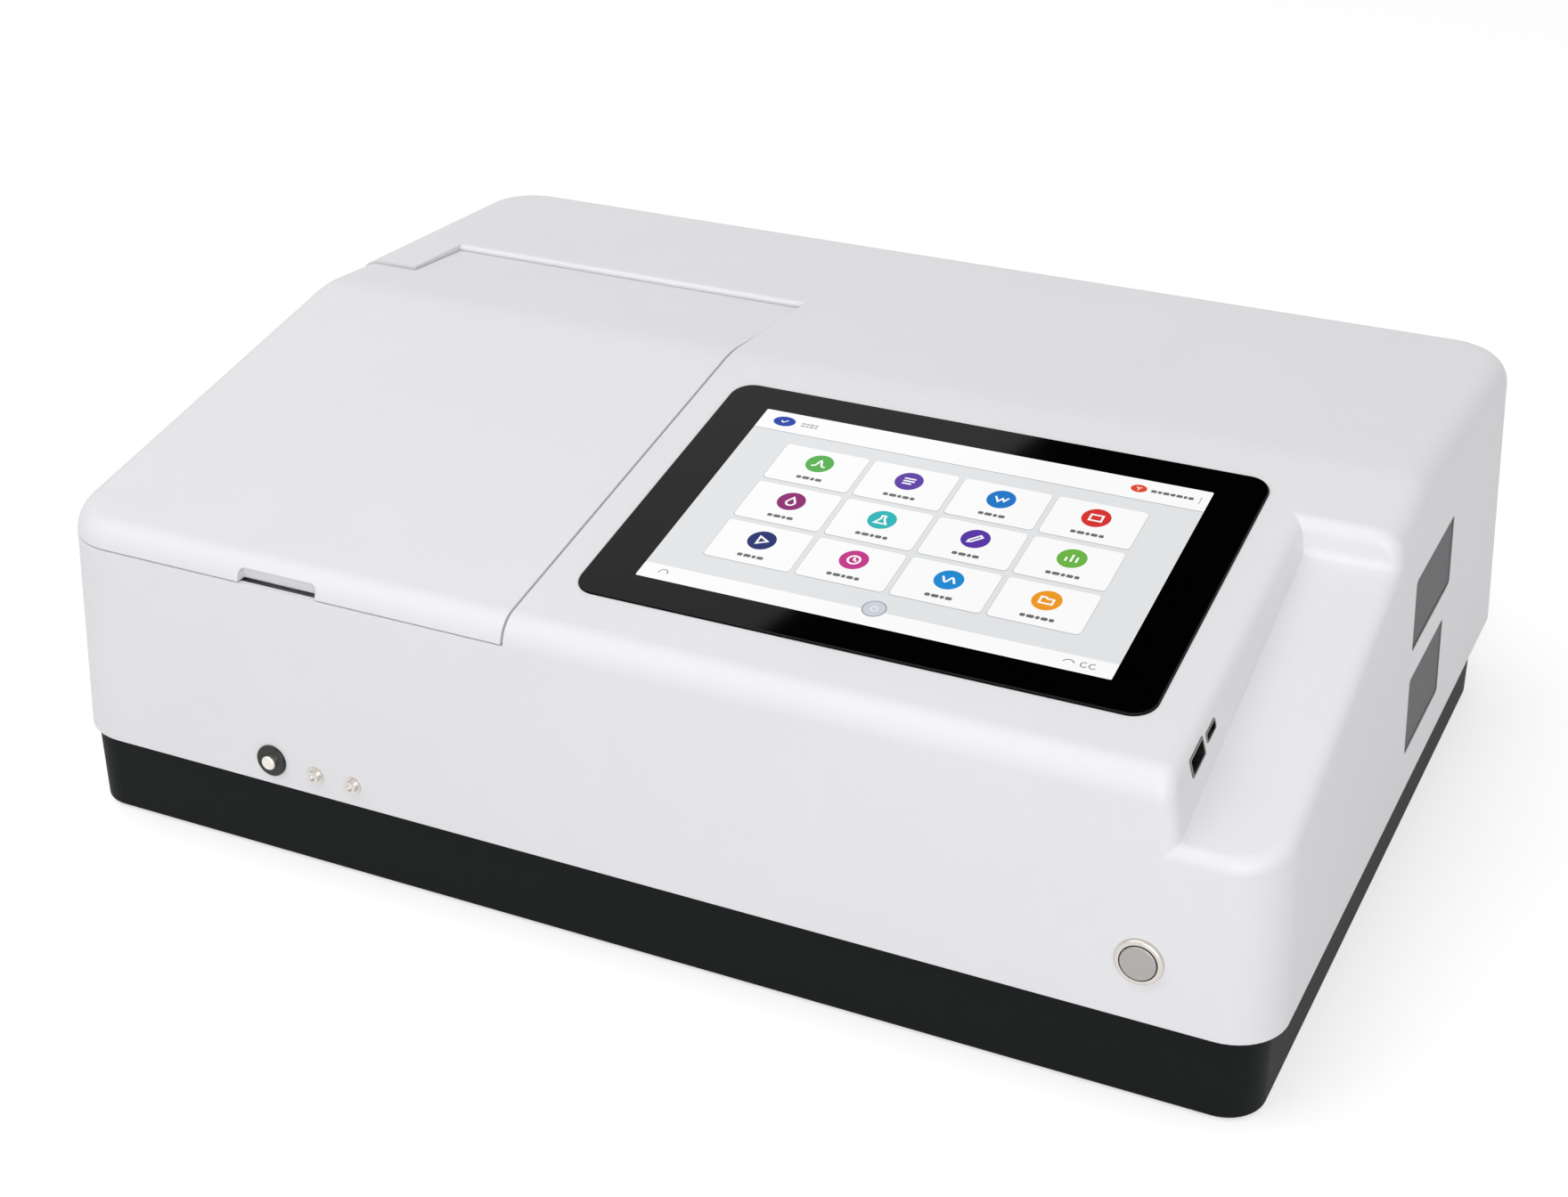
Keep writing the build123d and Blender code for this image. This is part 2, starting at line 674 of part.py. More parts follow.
# Cooling fan behind the rear panel, with its guard on the outside
fan_front = panel_back
fan_rear = panel_back - fan_depth
with BuildPart() as fan_frame:
    plate_on(rear_plane, fan_place, (fan_size, fan_size), fan_corner_radius, fan_rear, fan_front)
    disc_on(rear_plane, [fan_place], fan_bore_radius, fan_rear, fan_front, Mode.SUBTRACT)
    disc_on(rear_plane, [fan_place], fan_hub_radius, fan_rear, fan_rear + fan_arm_width / 2)
    with BuildSketch(rear_plane.offset(fan_rear)):
        with Locations(fan_place):
            with PolarLocations((fan_bore_radius + fan_hub_radius) / 2, fan_arms, fan_first_arm):
                Rectangle(fan_bore_radius - fan_hub_radius + 2, fan_arm_width)
    extrude(amount=fan_arm_width / 2)
    disc_on(rear_plane, [fan_place], fan_bearing_radius, fan_rear, fan_front - fan_depth / 3)
save(fan_frame, "fan_frame")

with BuildPart() as fan_rotor:
    hub_low = fan_rear + fan_arm_width / 2 + fan_blade_gap
    hub_high = fan_front - fan_blade_gap
    blade_reach = fan_bore_radius - fan_blade_gap
    with Locations(rear_plane.offset(hub_low)):
        with Locations((fan_place[0], fan_place[1], (hub_high - hub_low) / 2)):
            with PolarLocations((fan_hub_radius + blade_reach) / 2, fan_blades):
                Box(blade_reach - fan_hub_radius + 4, fan_blade_thickness, fan_depth - 4, rotation=(fan_blade_pitch, 0, 0))
    disc_on(rear_plane, [fan_place], blade_reach, hub_low, hub_high, Mode.INTERSECT)
    disc_on(rear_plane, [fan_place], fan_hub_radius, hub_low, hub_high)
    disc_on(rear_plane, [fan_place], fan_bearing_radius + running_clearance, hub_low,
            fan_front - fan_depth / 3 + fan_blade_gap, Mode.SUBTRACT)
save(fan_rotor, "fan_rotor")

with BuildPart() as fan_guard:
    plate_on(rear_plane, fan_place, (fan_size, fan_size), fan_corner_radius, panel_face,
             panel_face + guard_thickness)
    disc_on(rear_plane, [fan_place], fan_bore_radius, panel_face, panel_face + guard_thickness, Mode.SUBTRACT)
    with BuildSketch(rear_plane.offset(panel_face)):
        with Locations(fan_place):
            for ring in range(1, guard_rings + 1):
                Circle(fan_bore_radius * ring / (guard_rings + 1) + guard_bar / 2)
                Circle(fan_bore_radius * ring / (guard_rings + 1) - guard_bar / 2, mode=Mode.SUBTRACT)
            for spoke_angle in (45, 135):
                Rectangle(2 * fan_bore_radius + guard_bar, guard_bar, rotation=spoke_angle)
    extrude(amount=guard_thickness)
save(fan_guard, "fan_guard")

# Grey vent panels in the right wall, each with a frame around a set-back field
for name, (along, up, width, height) in vents.items():
    vent_place = (front_y + along, up)
    with BuildPart() as vent_panel:
        plate_on(side_plane, vent_place, (width + 2 * vent_flange, height + 2 * vent_flange), vent_radius,
                 -cover_wall - vent_flange_thickness, -cover_wall)
        plate_on(side_plane, vent_place, (width - 2 * vent_gap, height - 2 * vent_gap), vent_radius - vent_gap,
                 -cover_wall, -vent_recess)
        plate_on(side_plane, vent_place, (width - 2 * vent_frame, height - 2 * vent_frame), vent_radius / 2,
                 -vent_recess - vent_field, 0, Mode.SUBTRACT)
    save(vent_panel, name)

# Sample lid with its hinge lugs, finger notch and the pockets over the hinge brackets
lug_ends = lug_length / 2
ear_middle = lug_ends + ear_side_gap + ear_thickness / 2
ear_end = ear_middle + ear_thickness / 2
pocket_end = ear_end + pin_head_length + ear_side_gap
notch_face_y = wall_y(parting_height) + notch_depth
with BuildPart() as lid_inside:
    add(lid_inner_form)
    add(lid_region(-lid_side_gap - cover_wall, -lid_rear_gap - cover_wall, parting_height), mode=Mode.INTERSECT)
with BuildPart() as sample_lid:
    add(lid_form)
    add(lid_region(-lid_side_gap, -lid_rear_gap, parting_height + lid_seat_gap), mode=Mode.INTERSECT)
    add(lid_inside.part, mode=Mode.SUBTRACT)
    slab((strip_x, lid_right_x), (hinge_y - tail_reach, lid_rear_y), (deck_height, hinge_z - flange_below_axis),
         Mode.SUBTRACT)
    for offset in hinge_offsets:
        slab((offset - pocket_end, offset + pocket_end), (hinge_y - ear_radius * 2, hinge_y + ear_radius * 2),
             (hinge_z, hinge_z + ear_radius + ear_roof_gap), Mode.SUBTRACT)
        slab((offset - pocket_end, offset + pocket_end), (hinge_y, lid_rear_y),
             (hinge_z - flange_below_axis * 2, hinge_z + 1), Mode.SUBTRACT)
        bar_along_x((offset - lug_ends, offset + lug_ends), hinge_y, hinge_z, lug_radius)
        slab((offset - lug_ends, offset + lug_ends), (hinge_y - lug_radius, hinge_y + lug_radius),
             (hinge_z, hinge_z + lug_radius))
        bar_along_x((offset - lug_ends, offset + lug_ends), hinge_y, hinge_z, hinge_pin_radius + running_clearance,
                    Mode.SUBTRACT)
    with BuildPart(mode=Mode.PRIVATE) as notch_back:
        add(lid_form)
        slab((notch_x - notch_width / 2 - cover_wall, notch_x + notch_width / 2 + cover_wall),
             (front_y, notch_face_y + cover_wall),
             (parting_height + lid_seat_gap, parting_height + notch_height + cover_wall), Mode.INTERSECT)
    add(notch_back.part)
    with BuildSketch(Plane.XZ.offset(-front_y)):
        with Locations((notch_x, parting_height)):
            RectangleRounded(notch_width, 2 * notch_height, notch_radius)
    extrude(amount=front_y - notch_face_y, mode=Mode.SUBTRACT)
save(sample_lid, "sample_lid")

# Light shield under the lid, over the chamber
with BuildPart() as lid_liner:
    add(lid_inner_form)
    with BuildSketch(Plane.XY.offset(seal_top + seal_gap)):
        with Locations((chamber_x, chamber_y)):
            RectangleRounded(chamber_width + 2 * liner_offset, chamber_length + 2 * liner_offset, seal_radius)
    extrude(amount=roof_clear - seal_top, mode=Mode.INTERSECT)
    with BuildPart(mode=Mode.PRIVATE) as liner_inside:
        add(lid_inner_form.moved(Location((0, 0, -liner_sheet))))
        with BuildSketch(Plane.XY.offset(seal_top)):
            with Locations((chamber_x, chamber_y)):
                RectangleRounded(chamber_width + 2 * (liner_offset - liner_sheet),
                                 chamber_length + 2 * (liner_offset - liner_sheet), seal_radius - liner_sheet)
        extrude(amount=roof_clear - seal_top, mode=Mode.INTERSECT)
    add(liner_inside.part, mode=Mode.SUBTRACT)
save(lid_liner, "lid_liner")

with BuildPart() as chamber_seal:
    with BuildSketch(Plane.XY.offset(deck_height)):
        with Locations((chamber_x, chamber_y)):
            RectangleRounded(chamber_width + 2 * seal_outer, chamber_length + 2 * seal_outer, seal_radius)
            RectangleRounded(chamber_width + 2 * seal_inner, chamber_length + 2 * seal_inner,
                             seal_radius - seal_outer + seal_inner, mode=Mode.SUBTRACT)
    extrude(amount=seal_top - deck_height)
save(chamber_seal, "chamber_seal")

# Hinge brackets on the deck and the pins through them
with BuildPart() as hinge_brackets:
    for offset in hinge_offsets:
        for ear_x, thickness, top in ((-ear_middle, ear_thickness, hinge_z), (ear_middle, ear_thickness, hinge_z),
                                      (0, 2 * ear_middle, hinge_z - lug_radius - ear_radius / 2)):
            with BuildSketch(Plane.YZ.offset(offset + ear_x - thickness / 2)):
                with BuildLine():
                    top_reach = ear_radius + bracket_taper * (hinge_z - top) / (hinge_z - deck_height)
                    Polyline((hinge_y - ear_radius - bracket_taper, deck_height), (hinge_y + ear_radius, deck_height),
                             (hinge_y + ear_radius, top), (hinge_y - top_reach, top), close=True)
                make_face()
            extrude(amount=thickness)
        for side in (-1, 1):
            middle = offset + side * ear_middle
            bar_along_x((middle - ear_thickness / 2, middle + ear_thickness / 2), hinge_y, hinge_z, ear_radius)
        slab((offset - ear_end - bracket_foot, offset + ear_end + bracket_foot),
             (hinge_y - ear_radius - bracket_taper - bracket_foot, hinge_y + ear_radius + bracket_foot),
             (deck_height, deck_height + ear_thickness))
        bar_along_x((offset - ear_end, offset + ear_end), hinge_y, hinge_z, hinge_pin_radius + running_clearance,
                    Mode.SUBTRACT)
save(hinge_brackets, "hinge_brackets")

with BuildPart() as hinge_pins:
    for offset in hinge_offsets:
        bar_along_x((offset - ear_end, offset + ear_end), hinge_y, hinge_z, hinge_pin_radius)
        bar_along_x((offset + ear_end, offset + ear_end + pin_head_length), hinge_y, hinge_z, pin_head_radius)
        bar_along_x((offset - ear_end - pin_head_length, offset - ear_end), hinge_y, hinge_z, pin_head_radius)
save(hinge_pins, "hinge_pins")

# Sample chamber with its windows
window_places = [(y, beam_height) for y in (sample_beam_y, reference_beam_y)]
with BuildPart() as sample_chamber:
    slab((chamber_left_x, chamber_right_x),
         (chamber_front_y - chamber_wall, chamber_rear_y + chamber_wall), (bench_top, deck_bottom))
    with BuildSketch(Plane.XY.offset(bench_top + chamber_floor)):
        with Locations((chamber_x, chamber_y)):
            RectangleRounded(chamber_width, chamber_length, chamber_corner_radius)
    extrude(amount=deck_bottom, mode=Mode.SUBTRACT)
    for y, z in window_places:
        bar_along_x((chamber_left_x, chamber_right_x), y, z, beam_radius, Mode.SUBTRACT)
        bar_along_x((chamber_left_x, chamber_left_x + window_thickness), y, z, window_radius + fit_clearance,
                    Mode.SUBTRACT)
        bar_along_x((chamber_right_x - window_thickness, chamber_right_x), y, z, window_radius + fit_clearance,
                    Mode.SUBTRACT)
    bar_along_y(chamber_x, (chamber_front_y - chamber_wall, chamber_front_y), rod_height,
                rod_radius + rod_wall_gap, Mode.SUBTRACT)
    for side in (-1, 1):
        bar_along_y(chamber_x + side * guide_offset, (chamber_front_y - guide_seat, chamber_rear_y + guide_seat),
                    guide_height, guide_radius + fit_clearance, Mode.SUBTRACT)
save(sample_chamber, "sample_chamber")

with BuildPart() as chamber_windows:
    for y, z in window_places:
        bar_along_x((chamber_left_x, chamber_left_x + window_thickness), y, z, window_radius)
        bar_along_x((chamber_right_x - window_thickness, chamber_right_x), y, z, window_radius)
save(chamber_windows, "chamber_windows")

# Cell carriage, its guide rods and its pull rod
with BuildPart() as cell_carriage:
    slab((chamber_x - carriage_width / 2, chamber_x + carriage_width / 2), (carriage_front_y, carriage_rear_y),
         (carriage_bottom, carriage_top))
    slab((chamber_x - cell_block_width / 2, chamber_x + cell_block_width / 2),
         (carriage_front_y, carriage_rear_y), (carriage_top, cell_block_top))
    slab((chamber_x - rod_socket, chamber_x + rod_socket), (carriage_front_y, carriage_front_y + rod_socket * 1.5),
         (rod_height - rod_radius - socket_skin, carriage_bottom))
    for y in cell_ys:
        slab((chamber_x - cell_well / 2, chamber_x + cell_well / 2), (y - cell_well / 2, y + cell_well / 2),
             (well_bottom, cell_block_top), Mode.SUBTRACT)
        slab((chamber_x - cell_block_width / 2, chamber_x + cell_block_width / 2),
             (y - beam_slot / 2, y + beam_slot / 2), (beam_height - beam_slot, beam_height + beam_slot), Mode.SUBTRACT)
    bar_along_y(chamber_x, (carriage_front_y, carriage_front_y + rod_socket), rod_height,
                rod_radius + fit_clearance, Mode.SUBTRACT)
    for side in (-1, 1):
        bar_along_y(chamber_x + side * guide_offset, (carriage_front_y, carriage_rear_y), guide_height,
                    guide_radius + running_clearance, Mode.SUBTRACT)
save(cell_carriage, "cell_carriage")

with BuildPart() as guide_rods:
    for side in (-1, 1):
        bar_along_y(chamber_x + side * guide_offset, (chamber_front_y - guide_seat, chamber_rear_y + guide_seat),
                    guide_height, guide_radius)
save(guide_rods, "guide_rods")

with BuildPart() as pull_rod:
    bar_along_y(chamber_x, (wall_y(rod_height) - rod_proud, carriage_front_y + rod_socket), rod_height, rod_radius)
    fillet(pull_rod.edges().group_by(Axis.Y)[0], rod_end_radius)
save(pull_rod, "pull_rod")

with BuildPart() as rod_bush:
    disc_on(front_plane, [rod_place], bush_flange_radius, 0, bush_proud)
    fillet(rod_bush.edges().group_by(Axis.Y)[0], bush_proud / 2)
    disc_on(front_plane, [rod_place], bush_radius, -bush_length, 0)
    bar_along_y(chamber_x, (front_y - bush_length, front_y + 2 * bush_length), rod_height,
                rod_radius + running_clearance, Mode.SUBTRACT)
save(rod_bush, "rod_bush")

with BuildPart() as front_screws:
    disc_on(front_plane, front_screw_places, screw_head_radius, 0, screw_head_height / 3)
    disc_on(front_plane, front_screw_places, screw_head_radius * 2 / 3, screw_head_height / 3, screw_head_height)
    disc_on(front_plane, front_screw_places, screw_shank_radius, -screw_boss_length, 0)
    with BuildSketch(front_plane.offset(screw_head_height)):
        with Locations(*front_screw_places):
            RegularPolygon(hex_key_radius, 6)
    extrude(amount=-screw_head_height / 2, mode=Mode.SUBTRACT)
save(front_screws, "front_screws")

# Fixed holder of the reference cell
reference_wall = cell_block_width / 4
with BuildPart() as reference_cell_holder:
    slab((chamber_x - cell_block_width / 2, chamber_x + cell_block_width / 2),
         (reference_beam_y - cell_well / 2 - reference_wall, reference_beam_y + cell_well / 2 + reference_wall),
         (bench_top + chamber_floor, cell_block_top))
    slab((chamber_x - cell_well / 2, chamber_x + cell_well / 2),
         (reference_beam_y - cell_well / 2, reference_beam_y + cell_well / 2), (well_bottom, cell_block_top),
         Mode.SUBTRACT)
    slab((chamber_x - cell_block_width / 2, chamber_x + cell_block_width / 2),
         (reference_beam_y - beam_slot / 2, reference_beam_y + beam_slot / 2),
         (beam_height - beam_slot, beam_height + beam_slot), Mode.SUBTRACT)
save(reference_cell_holder, "reference_cell_holder")

# Touch glass, display and the tray and board behind it
lcd_top = glass_proud - glass_thickness
lcd_size = (window_size[0] - 2 * lcd_clearance, window_size[1] - 2 * lcd_clearance)
lcd_bottom = lcd_top - lcd_thickness
tray_bottom = lcd_bottom - tray_sheet
with BuildPart() as touch_glass:
    plate_on(panel_plane, glass_place, (glass_width, glass_height), glass_radius, lcd_top, glass_proud)
    fillet(touch_glass.edges().filter_by(lambda e: panel_plane.to_local_coords(e.center()).Z > glass_proud - 0.01),
           glass_edge_radius)
save(touch_glass, "touch_glass")

with BuildPart() as lcd_panel:
    plate_on(panel_plane, glass_place, lcd_size, display_corner - lcd_clearance, lcd_bottom, lcd_top)
save(lcd_panel, "lcd_panel")

with BuildPart() as display_tray:
    plate_on(panel_plane, glass_place, (window_size[0] + 2 * tray_flange, window_size[1] + 2 * tray_flange),
             display_corner, -cover_wall - tray_sheet, -cover_wall)
    plate_on(panel_plane, glass_place, (window_size[0] + 2 * tray_sheet, window_size[1] + 2 * tray_sheet),
             display_corner + tray_sheet, tray_bottom, -cover_wall)
    plate_on(panel_plane, glass_place, window_size, display_corner, lcd_bottom, -cover_wall, Mode.SUBTRACT)
    board_corners = [(glass_x + i * (board_size[0] / 2 - board_margin), glass_up_slope + j * (board_size[1] / 2 - board_margin))
                     for i in (-1, 1) for j in (-1, 1)]
    disc_on(panel_plane, board_corners, board_margin / 2, tray_bottom - board_standoff, tray_bottom)
    plate_on(panel_plane, glass_place, ribbon_slot, socket_radius, tray_bottom, lcd_bottom, Mode.SUBTRACT)
save(display_tray, "display_tray")

with BuildPart() as display_board:
    board_top = tray_bottom - board_standoff
    plate_on(panel_plane, glass_place, board_size, socket_radius, board_top - board_thickness, board_top)
    plate_on(panel_plane, (glass_x - board_size[0] / 5, glass_up_slope), (chip_size, chip_size), socket_radius / 2,
             board_top - board_thickness - chip_height, board_top - board_thickness)
    plate_on(panel_plane, (glass_x + board_size[0] / 4, glass_up_slope), connector_size, socket_radius / 2,
             board_top - board_thickness - chip_height * 3, board_top - board_thickness)
save(display_board, "display_board")

# Power button
with BuildPart() as power_button_body:
    disc_on(front_plane, [button_place], button_flange_radius, 0, button_flange)
    outer_rim = power_button_body.edges().filter_by(
        lambda e: front_plane.to_local_coords(e.center()).Z > button_flange - 0.01)
    fillet(outer_rim, button_flange / 2)
    disc_on(front_plane, [button_place], button_barrel_radius, -button_barrel_length, 0)
    disc_on(front_plane, [button_place], button_bore_radius, -button_bore_depth, button_flange, Mode.SUBTRACT)
    disc_on(front_plane, [button_place], button_stem_radius + running_clearance,
            -button_bore_depth - button_stem_length, -button_bore_depth, Mode.SUBTRACT)
save(power_button_body, "power_button_body")

cap_top = button_flange + button_cap_proud
with BuildPart() as power_button_cap:
    disc_on(front_plane, [button_place], button_cap_radius, cap_top - button_cap_height, cap_top)
    cap_rim = power_button_cap.edges().filter_by(
        lambda e: front_plane.to_local_coords(e.center()).Z > cap_top - 0.01)
    fillet(cap_rim, button_cap_proud)
    disc_on(front_plane, [button_place], button_stem_radius,
            cap_top - button_cap_height - button_stem_length, cap_top - button_cap_height)
save(power_button_cap, "power_button_cap")

with BuildPart() as power_button_nut:
    with BuildSketch(front_plane.offset(-cover_wall - button_nut_height)):
        with Locations(button_place):
            RegularPolygon(button_nut_width / 2, 6, major_radius=False)
            Circle(button_barrel_radius + fit_clearance, mode=Mode.SUBTRACT)
    extrude(amount=button_nut_height)
save(power_button_nut, "power_button_nut")

# Sockets in the shelf wall
with BuildPart() as usb_socket:
    plate_on(shelf_wall_plane, usb_place, usb_outer, socket_radius, -usb_depth, socket_proud)
    plate_on(shelf_wall_plane, usb_place, usb_mouth, socket_radius / 2, -usb_depth * mouth_share, socket_proud, Mode.SUBTRACT)
    tongue_place = (usb_place[0], usb_place[1] + usb_mouth[1] / 5)
    plate_on(shelf_wall_plane, tongue_place, usb_tongue, usb_tongue[1] / 4, -usb_depth * mouth_share, -usb_tongue[1])
save(usb_socket, "usb_socket")

with BuildPart() as aux_socket:
    plate_on(shelf_wall_plane, aux_place, aux_outer, socket_radius, -aux_depth, socket_proud)
    plate_on(shelf_wall_plane, aux_place, aux_mouth, socket_radius / 2, -aux_depth * mouth_share, socket_proud, Mode.SUBTRACT)
    plate_on(shelf_wall_plane, aux_place, aux_tongue, aux_tongue[1] / 4, -aux_depth * mouth_share, -aux_tongue[1])
save(aux_socket, "aux_socket")

# Optical bench on its mounts
mono_left, mono_right, mono_front, mono_back = monochromator
house_left, house_right, house_front, house_back = lamp_house
mono_top = bench_top + monochromator_height
mono_floor = bench_top + monochromator_wall
house_top = bench_top + lamp_house_height
motor_places = [(exit_x, entrance_y), (lamp_mirror_x, entrance_y)]
bench_corners = [(-bench_side, bench_front_y), (bench_step_x, bench_front_y), (bench_step_x, bench_step_y),
                 (bench_side, bench_step_y), (bench_side, bench_rear_y), (-bench_side, bench_rear_y)]
mount_places = [(-bench_side + mount_inset, bench_front_y + mount_inset),
                (bench_step_x - mount_inset, bench_front_y + mount_inset),
                (-bench_side + mount_inset, bench_rear_y - mount_inset),
                (0, bench_rear_y - mount_inset), (bench_side - mount_inset, bench_rear_y - mount_inset),
                (bench_side - mount_inset, bench_step_y + mount_inset), (0, bench_step_y + mount_inset)]
with BuildPart() as optical_bench:
    with BuildSketch(Plane.XY.offset(bench_bottom)) as bench_plan:
        with BuildLine():
            Polyline(*bench_corners, close=True)
        make_face()
        fillet(bench_plan.vertices(), bench_corner)
        with Locations(*motor_places):
            RectangleRounded(motor_size + 2 * motor_gap, motor_size + 2 * motor_gap, motor_gap * 2,
                             mode=Mode.SUBTRACT)
    extrude(amount=bench_thickness)
save(optical_bench, "optical_bench")

with BuildPart() as bench_mounts:
    round_bar(mount_places, mount_radius, tray_floor_top, bench_bottom)
    round_bar(mount_places, mount_flange_radius, tray_floor_top, tray_floor_top + base_wall)
save(bench_mounts, "bench_mounts")

# Monochromator: case, cover, slit plates, grating and its motor
with BuildPart() as monochromator_case:
    slab((mono_left, mono_right), (mono_front, mono_back), (bench_top, mono_top))
    slab((mono_left + monochromator_wall, mono_right - monochromator_wall),
         (mono_front + monochromator_wall, mono_back - monochromator_wall), (mono_floor, mono_top), Mode.SUBTRACT)
    bar_along_x((mono_right - monochromator_wall, mono_right), entrance_y, beam_height, beam_radius, Mode.SUBTRACT)
    bar_along_y(exit_x, (mono_front, mono_front + monochromator_wall), beam_height, beam_radius, Mode.SUBTRACT)
    round_bar([(exit_x, entrance_y)], shaft_radius * 2, bench_top, mono_floor, Mode.SUBTRACT)
    slab((exit_x + grating_radius * 2, mono_right - monochromator_wall * 6),
         (entrance_y - baffle_offset - monochromator_wall / 2, entrance_y - baffle_offset), (mono_floor, mono_top))
save(monochromator_case, "monochromator_case")

with BuildPart() as monochromator_cover:
    slab((mono_left, mono_right), (mono_front, mono_back), (mono_top, mono_top + monochromator_lid))
    fillet(monochromator_cover.edges().filter_by(Axis.Z), monochromator_lid)
save(monochromator_cover, "monochromator_cover")

with BuildPart() as slit_plates:
    slab((mono_right, mono_right + slit_thickness), (entrance_y - slit_plate / 2, entrance_y + slit_plate / 2),
         (beam_height - slit_plate / 2, beam_height + slit_plate / 2))
    slab((mono_right, mono_right + slit_thickness), (entrance_y - slit_width / 2, entrance_y + slit_width / 2),
         (beam_height - slit_height / 2, beam_height + slit_height / 2), Mode.SUBTRACT)
    slab((exit_x - slit_plate / 2, exit_x + slit_plate / 2), (mono_front - slit_thickness, mono_front),
         (beam_height - slit_plate / 2, beam_height + slit_plate / 2))
    slab((exit_x - slit_width / 2, exit_x + slit_width / 2), (mono_front - slit_thickness, mono_front),
         (beam_height - slit_height / 2, beam_height + slit_height / 2), Mode.SUBTRACT)
save(slit_plates, "slit_plates")


def turned(x, y, angle):
    """Upright plane through a place, facing the way the optic on it looks."""
    return Plane(origin=(x, y, beam_height), x_dir=(-sin(radians(angle)), cos(radians(angle)), 0),
                 z_dir=(cos(radians(angle)), sin(radians(angle)), 0))


grating_plane = turned(exit_x, entrance_y, -45)
lamp_mirror_plane = turned(lamp_mirror_x, entrance_y, -135)
table_low = mono_floor + turret_above_floor
table_high = table_low + turret_height
shaft_low = bench_top - motor_bore_depth + turret_above_floor / 2
with BuildPart() as grating_turret:
    round_bar([(exit_x, entrance_y)], turret_radius, table_low, table_high)
    round_bar([(exit_x, entrance_y)], shaft_radius, shaft_low, table_low)
    holder_low = table_high - beam_height
    with Locations(grating_plane):
        with Locations((0, (holder_low + grating_radius) / 2, -grating_thickness - holder_thickness / 2)):
            Box(holder_width, grating_radius - holder_low, holder_thickness)
save(grating_turret, "grating_turret")

with BuildPart() as grating:
    disc_on(grating_plane, [(0, 0)], grating_radius, -grating_thickness, 0)
save(grating, "grating")

with BuildPart() as mirror_turret:
    round_bar([(lamp_mirror_x, entrance_y)], turret_radius, table_low, table_high)
    round_bar([(lamp_mirror_x, entrance_y)], shaft_radius, shaft_low, table_low)
    with Locations(lamp_mirror_plane):
        with Locations((0, (holder_low + mirror_size / 2) / 2, -mirror_thickness - holder_thickness / 2)):
            Box(holder_width, mirror_size / 2 - holder_low, holder_thickness)
save(mirror_turret, "mirror_turret")

with BuildPart() as lamp_mirror:
    with Locations(lamp_mirror_plane):
        with Locations((0, 0, -mirror_thickness / 2)):
            Box(mirror_size, mirror_size, mirror_thickness)
save(lamp_mirror, "lamp_mirror")

for name, place in zip(("grating_motor", "mirror_motor"), motor_places):
    with BuildPart() as motor:
        with BuildSketch(Plane.XY.offset(bench_top - motor_height)):
            with Locations(place):
                RectangleRounded(motor_size, motor_size, motor_gap * 2)
        extrude(amount=motor_height)
        round_bar([place], shaft_radius + running_clearance, bench_top - motor_bore_depth, bench_top, Mode.SUBTRACT)
    save(motor, name)

# Lamp house with its two lamps, filter wheel and motor
with BuildPart() as lamp_housing:
    slab((house_left, house_right), (house_front, house_back), (bench_top, house_top))
    slab((house_left + lamp_house_sheet, house_right - lamp_house_sheet),
         (house_front + lamp_house_sheet, house_back - lamp_house_sheet), (bench_top + lamp_house_sheet, house_top),
         Mode.SUBTRACT)
    bar_along_x((house_left, house_left + lamp_house_sheet), entrance_y, beam_height, wide_beam_radius,
                Mode.SUBTRACT)
    round_bar([(lamp_mirror_x, entrance_y)], shaft_radius * 2, bench_top, bench_top + lamp_house_sheet, Mode.SUBTRACT)
    with BuildSketch(Plane.XZ.offset(-house_back)):
        with Locations(((house_left + house_right) / 2, (bench_top + house_top) / 2)):
            with GridLocations(0, louvre_pitch, 1, louvre_rows):
                Rectangle(louvre_length, louvre_width)
    extrude(amount=lamp_house_sheet, mode=Mode.SUBTRACT)
save(lamp_housing, "lamp_house")

lamp_floor = bench_top + lamp_house_sheet
with BuildPart() as deuterium_lamp:
    round_bar([(deuterium_x, entrance_y)], deuterium_base_radius, lamp_floor, lamp_floor + lamp_base_height)
    round_bar([(deuterium_x, entrance_y)], deuterium_radius, lamp_floor + lamp_base_height,
              lamp_floor + lamp_base_height + deuterium_height)
    fillet(deuterium_lamp.edges().group_by(Axis.Z)[-1], deuterium_radius / 2)
save(deuterium_lamp, "deuterium_lamp")

with BuildPart() as halogen_lamp:
    round_bar([(lamp_mirror_x, halogen_y)], halogen_radius + lamp_house_sheet, lamp_floor,
              beam_height - halogen_radius * 2)
    round_bar([(lamp_mirror_x, halogen_y)], halogen_radius, beam_height - halogen_radius * 2,
              beam_height + halogen_radius * 2)
    fillet(halogen_lamp.edges().group_by(Axis.Z)[-1], halogen_radius / 2)
save(halogen_lamp, "halogen_lamp")

wheel_y = entrance_y + filter_circle
wheel_plane = Plane(origin=(wheel_x, wheel_y, beam_height), x_dir=(0, 1, 0), z_dir=(1, 0, 0))
with BuildPart() as filter_wheel:
    disc_on(wheel_plane, [(0, 0)], wheel_radius, -wheel_thickness / 2, wheel_thickness / 2)
    disc_on(wheel_plane, [(0, 0)], shaft_radius, wheel_thickness / 2,
            wheel_motor_gap + wheel_thickness / 2 + motor_bore_depth - turret_above_floor / 2)
    with BuildSketch(wheel_plane.offset(-wheel_thickness / 2)):
        with PolarLocations(filter_circle, filter_count):
            Circle(filter_radius)
    extrude(amount=wheel_thickness / 2, mode=Mode.SUBTRACT)
    with BuildSketch(wheel_plane.offset(0)):
        with PolarLocations(filter_circle, filter_count):
            Circle(filter_radius - 1)
    extrude(amount=wheel_thickness / 2, mode=Mode.SUBTRACT)
save(filter_wheel, "filter_wheel")

